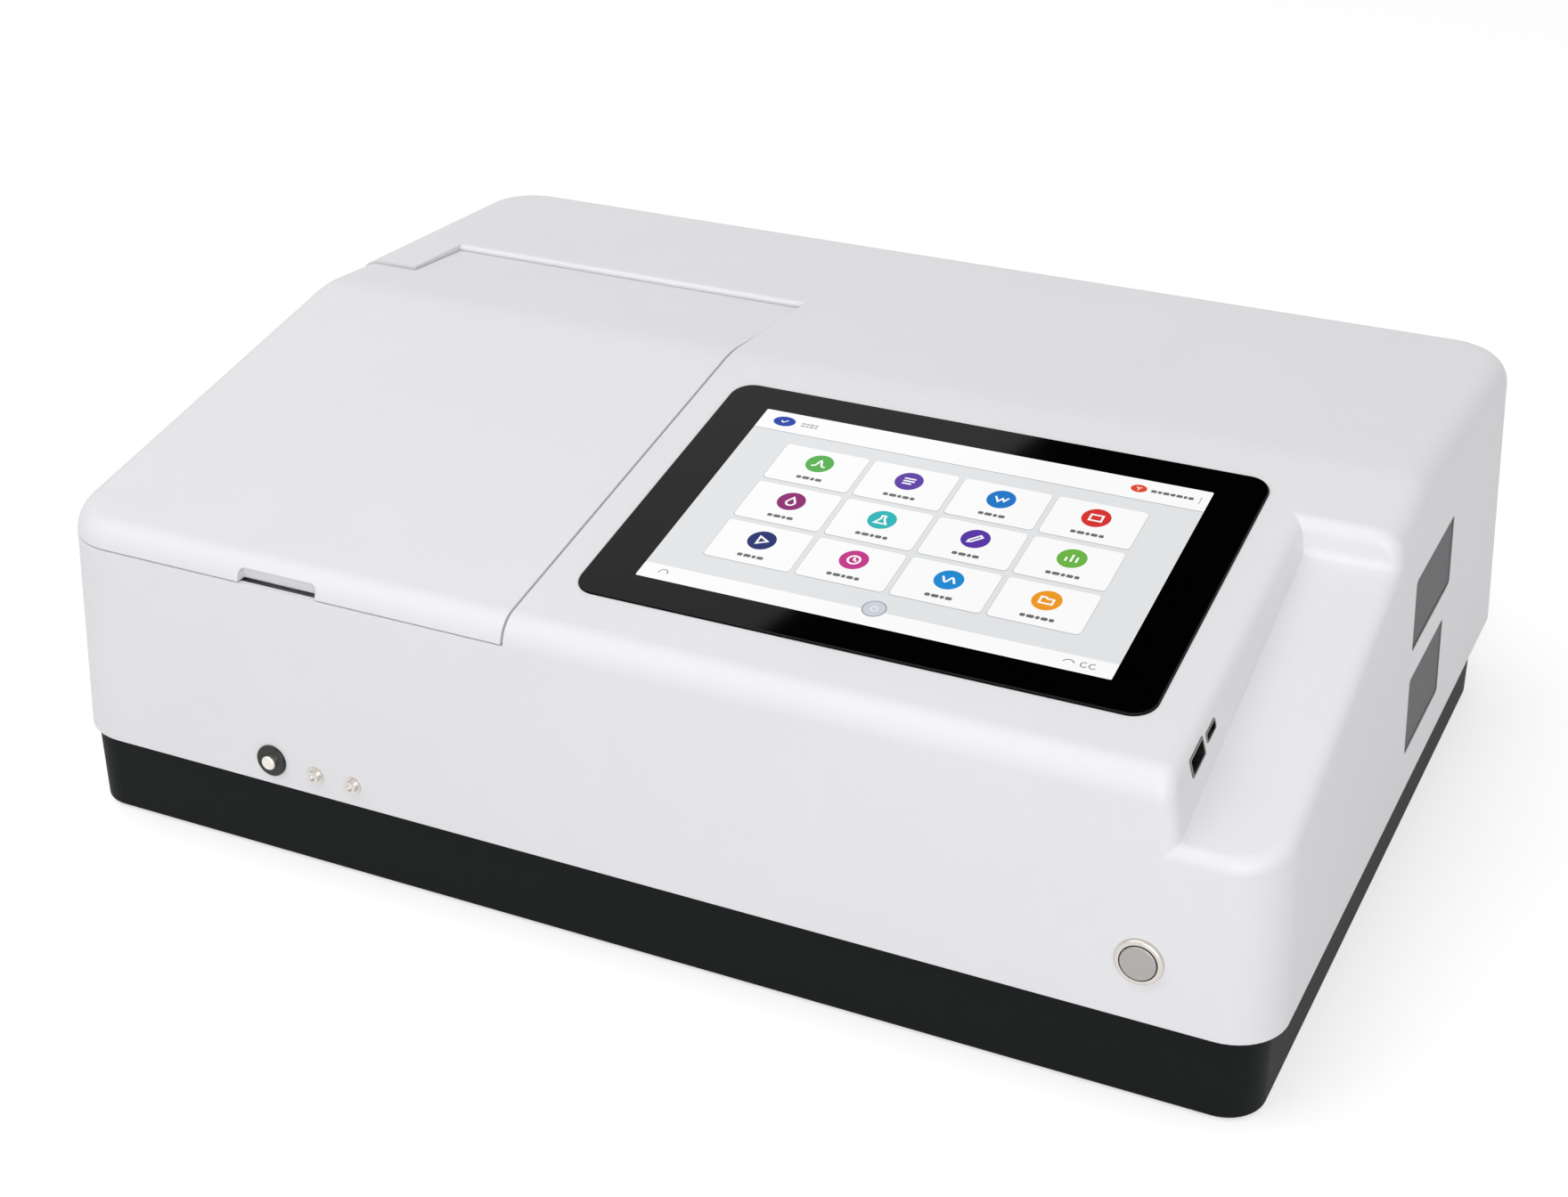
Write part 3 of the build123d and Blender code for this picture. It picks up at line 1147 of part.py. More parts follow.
with BuildPart() as filter_glasses:
    with BuildSketch(wheel_plane.offset(-wheel_thickness / 2)):
        with PolarLocations(filter_circle, filter_count):
            Circle(filter_radius - fit_clearance)
    extrude(amount=wheel_thickness / 2)
save(filter_glasses, "filter_glasses")

with BuildPart() as filter_motor:
    motor_face = wheel_thickness / 2 + wheel_motor_gap
    disc_on(wheel_plane, [(0, 0)], wheel_motor_radius, motor_face, house_left - wheel_x)
    disc_on(wheel_plane, [(0, 0)], shaft_radius + running_clearance, motor_face, motor_face + motor_bore_depth,
            Mode.SUBTRACT)
save(filter_motor, "filter_motor")

# Beam block with its lenses, splitter and fold mirror
block_left = chamber_right_x
lens_x = block_left + lens_offset
optic_ys = (sample_beam_y, reference_beam_y)
fold_planes = [turned(exit_x, y, 135) for y in optic_ys]
fold_sheets = (mirror_thickness, splitter_thickness)
with BuildPart() as beam_block:
    slab((block_left + window_thickness, exit_x + block_margin),
         (sample_beam_y - block_margin, reference_beam_y + block_margin), (bench_top, mono_floor))
    for y, plane, sheet in zip(optic_ys, fold_planes, fold_sheets):
        slab((lens_x - lens_thickness / 2, lens_x + lens_thickness / 2), (y - block_margin, y + block_margin),
             (mono_floor, beam_height + block_margin))
        bar_along_x((lens_x - lens_thickness / 2, lens_x + lens_thickness / 2), y, beam_height,
                    lens_radius + fit_clearance, Mode.SUBTRACT)
        arm_low = mono_floor - beam_height
        with Locations(plane):
            with Locations((0, (arm_low + mirror_size / 2) / 2, -sheet - holder_thickness / 2)):
                Box(mirror_size, mirror_size / 2 - arm_low, holder_thickness)
            with Locations((0, 0, -sheet - holder_thickness / 2)):
                Cylinder(wide_beam_radius, holder_thickness, mode=Mode.SUBTRACT)
save(beam_block, "beam_block")

with BuildPart() as beam_lenses:
    for y in optic_ys:
        bar_along_x((lens_x - lens_thickness / 2, lens_x + lens_thickness / 2), y, beam_height, lens_radius)
save(beam_lenses, "beam_lenses")

for name, plane, sheet in zip(("fold_mirror", "beam_splitter"), fold_planes, fold_sheets):
    with BuildPart() as folding_optic:
        with Locations(plane):
            with Locations((0, 0, -sheet / 2)):
                Box(mirror_size, mirror_size, sheet)
    save(folding_optic, name)

# Detector block with its two photodiodes
detector_right = chamber_left_x
detector_left = detector_right - detector_length
with BuildPart() as detector_block:
    slab((detector_left, detector_right), (sample_beam_y - block_margin, reference_beam_y + block_margin),
         (bench_top, beam_height + block_margin))
    for y in optic_ys:
        bar_along_x((detector_left, detector_right), y, beam_height, beam_radius, Mode.SUBTRACT)
        bar_along_x((detector_left, detector_left + photodiode_length), y, beam_height,
                    photodiode_radius + fit_clearance, Mode.SUBTRACT)
save(detector_block, "detector_block")

with BuildPart() as photodiodes:
    for y in optic_ys:
        bar_along_x((detector_left, detector_left + photodiode_length), y, beam_height, photodiode_radius)
save(photodiodes, "photodiodes")

# Power supply and main board on the tray floor
with BuildPart() as power_supply:
    slab(supply_x, supply_y, (tray_floor_top, tray_floor_top + supply_height))
    fillet(power_supply.edges().filter_by(Axis.Z), motor_gap)
    with BuildSketch(Plane.XY.offset(tray_floor_top + supply_height)):
        with Locations((sum(supply_x) / 2, sum(supply_y) / 2)):
            with GridLocations(louvre_pitch, 0, supply_slots, 1):
                Rectangle(louvre_width, supply_slot_length)
    extrude(amount=-lamp_house_sheet, mode=Mode.SUBTRACT)
save(power_supply, "power_supply")

main_board_low = tray_floor_top + board_standoff
main_board_high = main_board_low + board_thickness
main_board_corners = [(x, y) for x in (main_board_x[0] + board_margin, main_board_x[1] - board_margin)
                      for y in (main_board_y[0] + board_margin, main_board_y[1] - board_margin)]
with BuildPart() as main_board:
    slab(main_board_x, main_board_y, (main_board_low, main_board_high))
    round_bar(main_board_corners, board_margin / 2, tray_floor_top, main_board_low)
    middle_x = sum(main_board_x) / 2
    middle_y = sum(main_board_y) / 2
    slab((middle_x - chip_size, middle_x + chip_size), (middle_y - chip_size, middle_y + chip_size),
         (main_board_high, main_board_high + chip_height))
    for row in (-1, 1):
        slab((main_board_x[0] + chip_size, main_board_x[1] - chip_size),
             (middle_y + row * chip_size * 3 - chip_height * 2, middle_y + row * chip_size * 3 + chip_height * 2),
             (main_board_high, main_board_high + chip_height * 4))
save(main_board, "main_board")
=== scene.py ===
"""Finish of a double-beam UV-Vis spectrophotometer: materials, screen layout and studio."""

import math

import bmesh
import bpy
from bpy.props import FloatProperty, FloatVectorProperty, IntProperty, PointerProperty, StringProperty
from mathutils import Euler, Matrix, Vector


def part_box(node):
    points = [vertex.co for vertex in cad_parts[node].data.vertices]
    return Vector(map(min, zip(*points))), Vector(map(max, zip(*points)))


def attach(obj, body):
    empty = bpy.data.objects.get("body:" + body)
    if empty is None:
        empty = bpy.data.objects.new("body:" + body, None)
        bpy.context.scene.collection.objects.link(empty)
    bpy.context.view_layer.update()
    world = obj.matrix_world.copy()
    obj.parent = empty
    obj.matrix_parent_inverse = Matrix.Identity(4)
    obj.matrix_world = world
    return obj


bl_info = {
    "name": "UV-Vis Spectrophotometer Finish",
    "version": (1, 0, 0),
    "blender": (4, 5, 0),
    "location": "3D View > Sidebar > Spectrophotometer",
    "description": "Dresses the packed spectrophotometer with its materials, its screen layout and a studio",
    "category": "Object",
}

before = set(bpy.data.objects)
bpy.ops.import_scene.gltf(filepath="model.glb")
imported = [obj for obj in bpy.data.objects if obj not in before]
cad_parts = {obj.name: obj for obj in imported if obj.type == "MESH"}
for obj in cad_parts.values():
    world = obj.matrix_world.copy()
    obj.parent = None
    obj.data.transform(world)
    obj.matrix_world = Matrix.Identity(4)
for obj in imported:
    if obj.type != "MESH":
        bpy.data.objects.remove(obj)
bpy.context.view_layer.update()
MM = 0.001

# The sloped control panel, in millimetres: its foot line at the front wall, and its rise
PANEL_FRONT = -215.0
PANEL_HEIGHT = 154.0
PANEL_SLOPE = math.radians(11.0)
GLASS_TOP = 1.0
SCREEN_X = 98.7
SCREEN_UP = 123.0

# Home page as the photograph shows it, in millimetres off the screen's middle
PAGE_SIZE = (217.6, 134.6)
PAGE_MIDDLE = (0.7, -1.7)
PAGE_TOP = PAGE_MIDDLE[1] + PAGE_SIZE[1] / 2
PAGE_BOTTOM = PAGE_MIDDLE[1] - PAGE_SIZE[1] / 2
HEADER = 14.8
FOOTER = 10.0
HEADER_MIDDLE = PAGE_TOP - HEADER / 2
HEADER_WRITING = PAGE_TOP - 7.2
TILES_SHIFT = (0.6, -2.0)
EDGE_LINE = 0.5
SIGN_RISE = 3.4
LABEL_DROP = 8.6
MENU_SPOT = (-96.0, HEADER_MIDDLE + 0.2)
USER_SPOT = (77.4, HEADER_MIDDLE + 0.4)
HOME_KEY = (0.4, -57.6)

# Lower and upper face of each layer of the page, in millimetres over the glass
PAGE_LAYER = (0.01, 0.03)
LINE_LAYER = (0.03, 0.05)
BAR_LAYER = (0.03, 0.06)
TILE_LAYER = (0.05, 0.08)
ON_BAR = (0.06, 0.08)
ON_TILE = (0.08, 0.10)
ON_DISC = (0.10, 0.12)
HOME_RIM_LAYER = (0.06, 0.09)
HOME_FACE_LAYER = (0.09, 0.12)
HOME_SIGN_LAYER = (0.12, 0.14)

# Studio in metres, and the camera's turn in degrees
KEY_SIZE, KEY_PLACE, KEY_TARGET = 2.6, (-1.1, -0.9, 2.6), (0.0, 0.0, 0.1)
FILL_SIZE, FILL_PLACE, FILL_TARGET = 1.8, (1.1, -2.3, 1.1), (0.0, 0.0, 0.08)
CAMERA_PLACE = (0.47312, -1.00828, 0.67055)
CAMERA_TURN = (61.9571, 0.3848, 25.6906)
SENSOR_WIDTH = 36.0
FLOOR_HALF = 6.0
FLOOR_GLOW = 0.56
CARD_CORNERS = ((-0.735, 2.2, 2.4), (1.2, 2.2, 2.4), (1.2, 2.2, 3.9), (-2.124, 2.2, 3.9))


def linear(code):
    """Linear RGBA of an sRGB hex colour."""
    channels = [int(code[i:i + 2], 16) / 255 for i in (0, 2, 4)]
    return [c / 12.92 if c <= 0.04045 else ((c + 0.055) / 1.055) ** 2.4 for c in channels] + [1.0]


def on_panel(x, up, lift):
    """World place of a point on the control panel, from millimetres off the screen's middle."""
    along = SCREEN_UP + up
    height = GLASS_TOP + lift
    return Vector((SCREEN_X + x,
                   PANEL_FRONT + along * math.cos(PANEL_SLOPE) - height * math.sin(PANEL_SLOPE),
                   PANEL_HEIGHT + along * math.sin(PANEL_SLOPE) + height * math.cos(PANEL_SLOPE))) * MM


# Sizes and colours a user would change

class HousingFinish(bpy.types.PropertyGroup):
    """Colours and grain of the mouldings."""
    cover: StringProperty(name="Cover", description="sRGB colour of the white moulding", default="E9E9EC")
    base: StringProperty(name="Base", description="sRGB colour of the base tray", default="101213")
    vent: StringProperty(name="Vents", description="sRGB colour of the vent screens", default="6C6D6F")
    grain: FloatProperty(name="Grain", description="Spacing of the spark-eroded mould grain",
                         default=0.9 * MM, min=0.1 * MM, unit="LENGTH")
    edge: FloatProperty(name="Edge break", description="Rounding seen on the moulded edges", default=0.5 * MM,
                        min=0, unit="LENGTH")


class ScreenLayout(bpy.types.PropertyGroup):
    """Home page of the touch screen."""
    page: StringProperty(name="Page", description="sRGB colour of the page", default="E3E4E6")
    tile: StringProperty(name="Tile", description="sRGB colour of the tiles and bars", default="FBFBFC")
    mark: StringProperty(name="Mark", description="sRGB colour of the label marks", default="6A6D71")
    columns: IntProperty(name="Columns", description="Tiles in a row", default=4, min=1)
    rows: IntProperty(name="Rows", description="Rows of tiles", default=3, min=1)
    tile_size: FloatVectorProperty(name="Tile size", description="Width and height of a tile", size=2,
                                   default=(41.6 * MM, 27.4 * MM), unit="LENGTH")
    pitch: FloatVectorProperty(name="Tile pitch", description="Spacing of the tiles", size=2,
                               default=(44.3 * MM, 30.6 * MM), unit="LENGTH")
    disc: FloatProperty(name="Disc", description="Radius of a tile's coloured disc", default=6.6 * MM,
                        min=MM, unit="LENGTH")


class StudioSettings(bpy.types.PropertyGroup):
    """Camera and light."""
    lens: FloatProperty(name="Lens", description="Focal length on a 36 mm wide sensor",
                        default=57.8446, min=1)
    sky: FloatProperty(name="Sky", description="Strength of the surrounding light", default=0.54, min=0)
    key: FloatProperty(name="Key", description="Power of the large soft light",
                       default=26.0, min=0, unit="POWER")
    fill: FloatProperty(name="Fill", description="Power of the soft light at the user's side",
                        default=27.0, min=0, unit="POWER")
    floor: FloatProperty(name="Floor", description="Diffuse grey of the floor", default=0.62, min=0, max=1,
                         subtype="FACTOR")


# Shader nodes

def add(tree, kind, sockets=None, links=None, **settings):
    """Add one shader node with its settings, its socket values and its incoming links."""
    node = tree.nodes.new(kind)
    for name, value in settings.items():
        setattr(node, name, value)
    for name, value in (sockets or {}).items():
        node.inputs[name].default_value = value
    for name, source in (links or {}).items():
        tree.links.new(source, node.inputs[name])
    return node


def start(name):
    """New empty material, its tree and its object coordinates in metres."""
    material = bpy.data.materials.new(name)
    material.use_nodes = True
    tree = material.node_tree
    tree.nodes.clear()
    place = add(tree, "ShaderNodeTexCoord").outputs["Object"]
    return material, tree, place


def close(tree, shader):
    """Join a shader to the material's output."""
    add(tree, "ShaderNodeOutputMaterial", links={"Surface": shader.outputs[0]})


def finish_nodes(material, *names):
    """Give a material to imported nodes, on every slot that they have."""
    for name in names:
        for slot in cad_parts[name].material_slots:
            slot.material = material


def per_metre(spacing):
    """Noise scale at which one cell of the pattern spans the spacing."""
    return 1.0 / spacing


def shaded(colour, share):
    """Linear RGBA of an sRGB hex colour with its brightness scaled."""
    return [c * share for c in linear(colour)[:3]] + [1.0]


def ramp(tree, source, low, high, ends=(0.0, 1.0)):
    """Blend between two colours that follows an output."""
    node = add(tree, "ShaderNodeValToRGB", links={"Fac": source})
    for element, position, colour in zip(node.color_ramp.elements, ends, (low, high)):
        element.position = position
        element.color = colour
    return node


def noise(tree, place, spacing, detail, **sockets):
    """Noise texture of a given spacing, as its factor output."""
    return add(tree, "ShaderNodeTexNoise", {"Scale": per_metre(spacing), "Detail": detail, **sockets},
               {"Vector": place}).outputs["Fac"]


def spread(tree, source, low, high):
    """Value that runs from low to high with an output."""
    return add(tree, "ShaderNodeMapRange", {"To Min": low, "To Max": high},
               {"Value": source}).outputs["Result"]


def bumped(tree, source, strength, distance):
    """Normal of a surface raised by an output."""
    return add(tree, "ShaderNodeBump", {"Strength": strength, "Distance": distance},
               {"Height": source}).outputs["Normal"]


def seen_directly(tree):
    """One for camera, glossy and transmission rays, nought for the rays that light things."""
    path = add(tree, "ShaderNodeLightPath").outputs
    seen = add(tree, "ShaderNodeMath", links={0: path["Is Camera Ray"], 1: path["Is Glossy Ray"]},
               operation="MAXIMUM")
    return add(tree, "ShaderNodeMath", links={0: seen.outputs[0], 1: path["Is Transmission Ray"]},
               operation="MAXIMUM").outputs[0]


def mesh_object(name, mesh, material):
    """Object made of a finished mesh, in the scene's collection."""
    data = bpy.data.meshes.new(name)
    mesh.to_mesh(data)
    mesh.free()
    data.materials.append(material)
    piece = bpy.data.objects.new(name, data)
    bpy.context.collection.objects.link(piece)
    return piece


# Materials of the housing

def moulded_abs(name, colour, grain, edge, roughness, depth, shine=0.5):
    """Injection-moulded ABS with a spark-eroded grain: even and soft, with a broad faint sheen."""
    material, tree, place = start(name)
    cloud = noise(tree, place, grain * 60, 2.0)
    tint = ramp(tree, cloud, shaded(colour, 0.985), linear(colour), (0.3, 0.7))
    # The grain is drawn as coarse as it needs to show at the photograph's size
    pits = noise(tree, place, grain, 3.0, Roughness=0.6)
    rounded_edge = add(tree, "ShaderNodeBevel", {"Radius": edge}, samples=6)
    bump = add(tree, "ShaderNodeBump", {"Strength": depth, "Distance": grain * 0.12},
               {"Height": pits, "Normal": rounded_edge.outputs["Normal"]})
    shader = add(tree, "ShaderNodeBsdfPrincipled", {"IOR": 1.53, "Specular IOR Level": shine},
                 {"Base Color": tint.outputs["Color"], "Normal": bump.outputs["Normal"],
                  "Roughness": spread(tree, pits, roughness - 0.05, roughness + 0.05)})
    close(tree, shader)
    return material


def rubber(name, colour, speck):
    """Moulded nitrile rubber: almost no shine, a dusty speckle."""
    material, tree, place = start(name)
    dust = noise(tree, place, speck, 4.0)
    tint = ramp(tree, dust, linear(colour), shaded(colour, 2.2))
    shader = add(tree, "ShaderNodeBsdfPrincipled", {"Roughness": 0.78, "IOR": 1.52},
                 {"Base Color": tint.outputs["Color"], "Normal": bumped(tree, dust, 0.3, speck * 0.3)})
    close(tree, shader)
    return material


def filter_cloth(name, colour, thread):
    """Grey polyester filter cloth behind the vents: a plain weave of fine threads."""
    material, tree, place = start(name)
    turned = add(tree, "ShaderNodeMapping", {"Scale": (per_metre(thread),) * 3}, {"Vector": place})
    axes = add(tree, "ShaderNodeSeparateXYZ", links={"Vector": turned.outputs["Vector"]})
    waves = []
    for axis in ("Y", "Z"):
        angle = add(tree, "ShaderNodeMath", {1: math.pi}, {0: axes.outputs[axis]}, operation="MULTIPLY")
        wave = add(tree, "ShaderNodeMath", links={0: angle.outputs[0]}, operation="SINE")
        waves.append(add(tree, "ShaderNodeMath", links={0: wave.outputs[0]}, operation="ABSOLUTE"))
    weave = add(tree, "ShaderNodeMath", links={0: waves[0].outputs[0], 1: waves[1].outputs[0]},
                operation="MULTIPLY").outputs[0]
    tint = ramp(tree, weave, shaded(colour, 0.72), linear(colour))
    shader = add(tree, "ShaderNodeBsdfPrincipled", {"Roughness": 0.7, "IOR": 1.5},
                 {"Base Color": tint.outputs["Color"], "Normal": bumped(tree, weave, 0.35, thread * 0.3)})
    close(tree, shader)
    return material


# Metals

def turned_steel(name, colour, centre, axis, spacing, roughness):
    """Stainless steel faced on a lathe: concentric tool marks that smear the highlights round the axis."""
    material, tree, place = start(name)
    offset = add(tree, "ShaderNodeVectorMath", {1: centre}, {0: place}, operation="SUBTRACT")
    along = add(tree, "ShaderNodeVectorMath", {1: axis}, {0: offset.outputs["Vector"]},
                operation="DOT_PRODUCT")
    lengthwise = add(tree, "ShaderNodeVectorMath", {0: axis}, {"Scale": along.outputs["Value"]},
                     operation="SCALE")
    across = add(tree, "ShaderNodeVectorMath", operation="SUBTRACT",
                 links={0: offset.outputs["Vector"], 1: lengthwise.outputs["Vector"]})
    radius = add(tree, "ShaderNodeVectorMath", links={0: across.outputs["Vector"]}, operation="LENGTH")
    rings = add(tree, "ShaderNodeTexNoise", {"Scale": per_metre(spacing), "Detail": 2.0},
                {"W": radius.outputs["Value"]}, noise_dimensions="1D").outputs["Fac"]
    shader = add(tree, "ShaderNodeBsdfPrincipled", {"Base Color": linear(colour), "Metallic": 1.0},
                 {"Roughness": spread(tree, rings, roughness - 0.06, roughness + 0.08),
                  "Normal": bumped(tree, rings, 0.25, spacing * 0.15)})
    close(tree, shader)
    return material


def plated_steel(name, colour, spangle, roughness):
    """Plated steel: patches of slightly different shine, each a crystal of the coating."""
    material, tree, place = start(name)
    cells = add(tree, "ShaderNodeTexVoronoi", {"Scale": per_metre(spangle)},
                {"Vector": place}).outputs["Color"]
    tint = ramp(tree, cells, shaded(colour, 0.86), linear(colour))
    shader = add(tree, "ShaderNodeBsdfPrincipled", {"Metallic": 1.0},
                 {"Base Color": tint.outputs["Color"],
                  "Roughness": spread(tree, cells, roughness - 0.08, roughness + 0.1)})
    close(tree, shader)
    return material


def anodised_aluminium(name, colour, blast, roughness, metal):
    """Bead-blasted and anodised aluminium: a fine even sparkle under a thin dyed skin."""
    material, tree, place = start(name)
    beads = noise(tree, place, blast, 5.0)
    shader = add(tree, "ShaderNodeBsdfPrincipled", {"Base Color": linear(colour), "Metallic": metal},
                 {"Roughness": spread(tree, beads, roughness - 0.07, roughness + 0.07),
                  "Normal": bumped(tree, beads, 0.2, blast * 0.2)})
    close(tree, shader)
    return material


def cast_aluminium(name, colour, sand):
    """Sand-cast aluminium under grey paint: a pebbled skin."""
    material, tree, place = start(name)
    pebbles = noise(tree, place, sand, 6.0, Roughness=0.7)
    tint = ramp(tree, pebbles, shaded(colour, 0.8), linear(colour))
    shader = add(tree, "ShaderNodeBsdfPrincipled", {"Roughness": 0.55, "IOR": 1.5},
                 {"Base Color": tint.outputs["Color"], "Normal": bumped(tree, pebbles, 0.5, sand * 0.3)})
    close(tree, shader)
    return material


# Plastics, glass and the screen

def gloss_plastic(name, colour, roughness, ripple):
    """Polished moulded plastic: a clear highlight that wavers slightly with the moulding's flow."""
    material, tree, place = start(name)
    flow = noise(tree, place, ripple, 2.0)
    shader = add(tree, "ShaderNodeBsdfPrincipled", {"Base Color": linear(colour), "IOR": 1.49},
                 {"Roughness": spread(tree, flow, roughness * 0.8, roughness * 1.2),
                  "Normal": bumped(tree, flow, 0.08, ripple * 0.05)})
    close(tree, shader)
    return material


def printed_glass(name, colour):
    """Chemically toughened glass, printed black from behind and coated against reflection."""
    material, tree, place = start(name)
    smear = noise(tree, place, 35 * MM, 3.0)
    # The low specular level is the coating's share of a bare pane's reflection
    shader = add(tree, "ShaderNodeBsdfPrincipled",
                 {"Base Color": linear(colour), "IOR": 1.51, "Specular IOR Level": 0.16},
                 {"Roughness": spread(tree, smear, 0.03, 0.06)})
    close(tree, shader)
    return material


def clear_quartz(name, colour):
    """Polished fused silica: clear, with a faint cool body colour."""
    material, tree, place = start(name)
    streak = noise(tree, place, 6 * MM, 2.0)
    shader = add(tree, "ShaderNodeBsdfPrincipled",
                 {"Base Color": linear(colour), "IOR": 1.46, "Transmission Weight": 1.0},
                 {"Roughness": spread(tree, streak, 0.0, 0.04)})
    close(tree, shader)
    return material


def coated_mirror(name, colour):
    """Front-surface mirror: evaporated aluminium on glass, with the faintest bloom."""
    material, tree, place = start(name)
    bloom = noise(tree, place, 4 * MM, 3.0)
    shader = add(tree, "ShaderNodeBsdfPrincipled", {"Base Color": linear(colour), "Metallic": 1.0},
                 {"Roughness": spread(tree, bloom, 0.01, 0.05)})
    close(tree, shader)
    return material


def solder_mask(name, colour, track):
    """Green solder mask over copper: tracks show as slightly lighter lines under a clear skin."""
    material, tree, place = start(name)
    bricks = add(tree, "ShaderNodeTexBrick", {"Scale": per_metre(track * 12), "Mortar Size": 0.06,
                                              "Color1": linear(colour), "Color2": linear("0E5A2E"),
                                              "Mortar": linear("1C7A44")}, {"Vector": place})
    shader = add(tree, "ShaderNodeBsdfPrincipled", {"Roughness": 0.3, "IOR": 1.5, "Coat Weight": 0.4},
                 {"Base Color": bricks.outputs["Color"]})
    close(tree, shader)
    return material


def lit_pixels(name, colour, glow=1.0):
    """Lit pixels of a colour display under glass: even light with the finest dot structure."""
    material, tree, place = start(name)
    dots = noise(tree, place, 0.4 * MM, 1.0)
    tint = ramp(tree, dots, shaded(colour, 0.97), linear(colour))
    shader = add(tree, "ShaderNodeBsdfPrincipled",
                 {"Base Color": linear("050505"), "Roughness": 0.12, "IOR": 1.51, "Specular IOR Level": 0.16,
                  "Emission Strength": glow}, {"Emission Color": tint.outputs["Color"]})
    close(tree, shader)
    return material


# Outlines of the screen's marks, in millimetres off the screen's middle

def rounded(width, height, radius, steps=6):
    """Corner points of a rounded rectangle about the origin, anticlockwise."""
    points = []
    for turn, (sx, sy) in enumerate(((1, 1), (-1, 1), (-1, -1), (1, -1))):
        for step in range(steps + 1):
            angle = math.radians(90 * turn + 90 * step / steps)
            points.append((sx * (width / 2 - radius) + radius * math.cos(angle),
                           sy * (height / 2 - radius) + radius * math.sin(angle)))
    return points


def oval(width, height, steps=48):
    """Points of an ellipse about the origin."""
    return [(width / 2 * math.cos(2 * math.pi * i / steps), height / 2 * math.sin(2 * math.pi * i / steps))
            for i in range(steps)]


def slab(mesh, points, at, low, high):
    """Thin plate over an outline on the panel, between two lifts over the glass."""
    rings = [[mesh.verts.new(on_panel(at[0] + x, at[1] + y, lift)) for x, y in points]
             for lift in (low, high)]
    mesh.faces.new(rings[1])
    mesh.faces.new(list(reversed(rings[0])))
    count = len(points)
    for i in range(count):
        j = (i + 1) % count
        mesh.faces.new((rings[0][i], rings[0][j], rings[1][j], rings[1][i]))


def stroke(mesh, points, width, at, low, high, closed=False):
    """Line of even width along points, mitred at each corner, as a thin plate."""
    count = len(points)
    sides = []
    for i, (x, y) in enumerate(points):
        before = points[i - 1] if closed or i else None
        after = points[(i + 1) % count] if closed or i < count - 1 else None
        normals = []
        for a, b in ((before, (x, y)), ((x, y), after)):
            if a and b:
                length = math.hypot(b[0] - a[0], b[1] - a[1])
                normals.append((-(b[1] - a[1]) / length, (b[0] - a[0]) / length))
        nx = sum(n[0] for n in normals)
        ny = sum(n[1] for n in normals)
        size = math.hypot(nx, ny)
        nx, ny = nx / size, ny / size
        reach = width / 2 / max(0.4, nx * normals[0][0] + ny * normals[0][1])
        sides.append([(x + nx * reach, y + ny * reach), (x - nx * reach, y - ny * reach)])
    rings = [[[mesh.verts.new(on_panel(at[0] + px, at[1] + py, lift)) for px, py in pair] for pair in sides]
             for lift in (low, high)]
    spans = [(i, (i + 1) % count) for i in range(count if closed else count - 1)]
    for i, j in spans:
        (la, lb), (lc, ld) = rings[0][i], rings[0][j]
        (ha, hb), (hc, hd) = rings[1][i], rings[1][j]
        mesh.faces.new((ha, hb, hd, hc))
        mesh.faces.new((la, lc, ld, lb))
        mesh.faces.new((la, ha, hc, lc))
        mesh.faces.new((lb, ld, hd, hb))
    if not closed:
        for i in (0, count - 1):
            mesh.faces.new((rings[0][i][0], rings[0][i][1], rings[1][i][1], rings[1][i][0]))


def screen_piece(name, build, material):
    """One mesh piece on the screen, riding on the housing."""
    mesh = bmesh.new()
    build(mesh)
    bmesh.ops.recalc_face_normals(mesh, faces=mesh.faces)
    piece = mesh_object(name, mesh, material)
    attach(piece, "housing")


def arc(cx, cy, r, first, last, steps=16):
    """Points along an arc, angles in degrees."""
    return [(cx + r * math.cos(math.radians(first + (last - first) * i / steps)),
             cy + r * math.sin(math.radians(first + (last - first) * i / steps))) for i in range(steps + 1)]


# Plain signs on the tiles, as strokes in a square of two by two units
PEAK = [(-1 + i / 12, -0.6 + 1.3 * math.exp(-((-1 + i / 12) / 0.32) ** 2)) for i in range(25)]
WAVE = [(-1 + i / 12, 0.5 * math.sin(math.pi * (-1 + i / 12) * 1.5)) for i in range(25)]
SIGNS = {
    "peak": [(PEAK, False)],
    "list": [([(-0.8, 0.55), (0.8, 0.55)], False), ([(-0.8, 0), (0.8, 0)], False),
             ([(-0.8, -0.55), (0.5, -0.55)], False)],
    "trace": [([(-0.9, 0.5), (-0.3, -0.5), (0.15, 0.2), (0.5, -0.3), (0.9, 0.5)], False)],
    "cell": [([(-0.8, 0.6), (0.8, 0.6), (0.8, -0.6), (-0.8, -0.6)], True)],
    "drop": [([(0, 0.9)] + arc(0, -0.25, 0.6, 20, -200), True)],
    "flask": [([(-0.25, 0.85), (0.25, 0.85), (0.25, 0.2), (0.8, -0.75), (-0.8, -0.75), (-0.25, 0.2)], True)],
    "pen": [([(-0.8, -0.8), (-0.7, -0.35), (0.45, 0.8), (0.8, 0.45), (-0.35, -0.7)], True)],
    "bars": [([(-0.7, -0.7), (-0.7, 0.1)], False), ([(0, -0.7), (0, 0.8)], False),
             ([(0.7, -0.7), (0.7, 0.4)], False)],
    "play": [([(-0.5, 0.75), (0.8, 0), (-0.5, -0.75)], True)],
    "clock": [(arc(0, 0, 0.8, 0, 345, 23), True), ([(0, 0.5), (0, 0), (0.4, -0.2)], False)],
    "wave": [(WAVE, False)],
    "folder": [([(-0.85, 0.6), (-0.25, 0.6), (0, 0.35), (0.85, 0.35), (0.85, -0.6), (-0.85, -0.6)], True)],
}
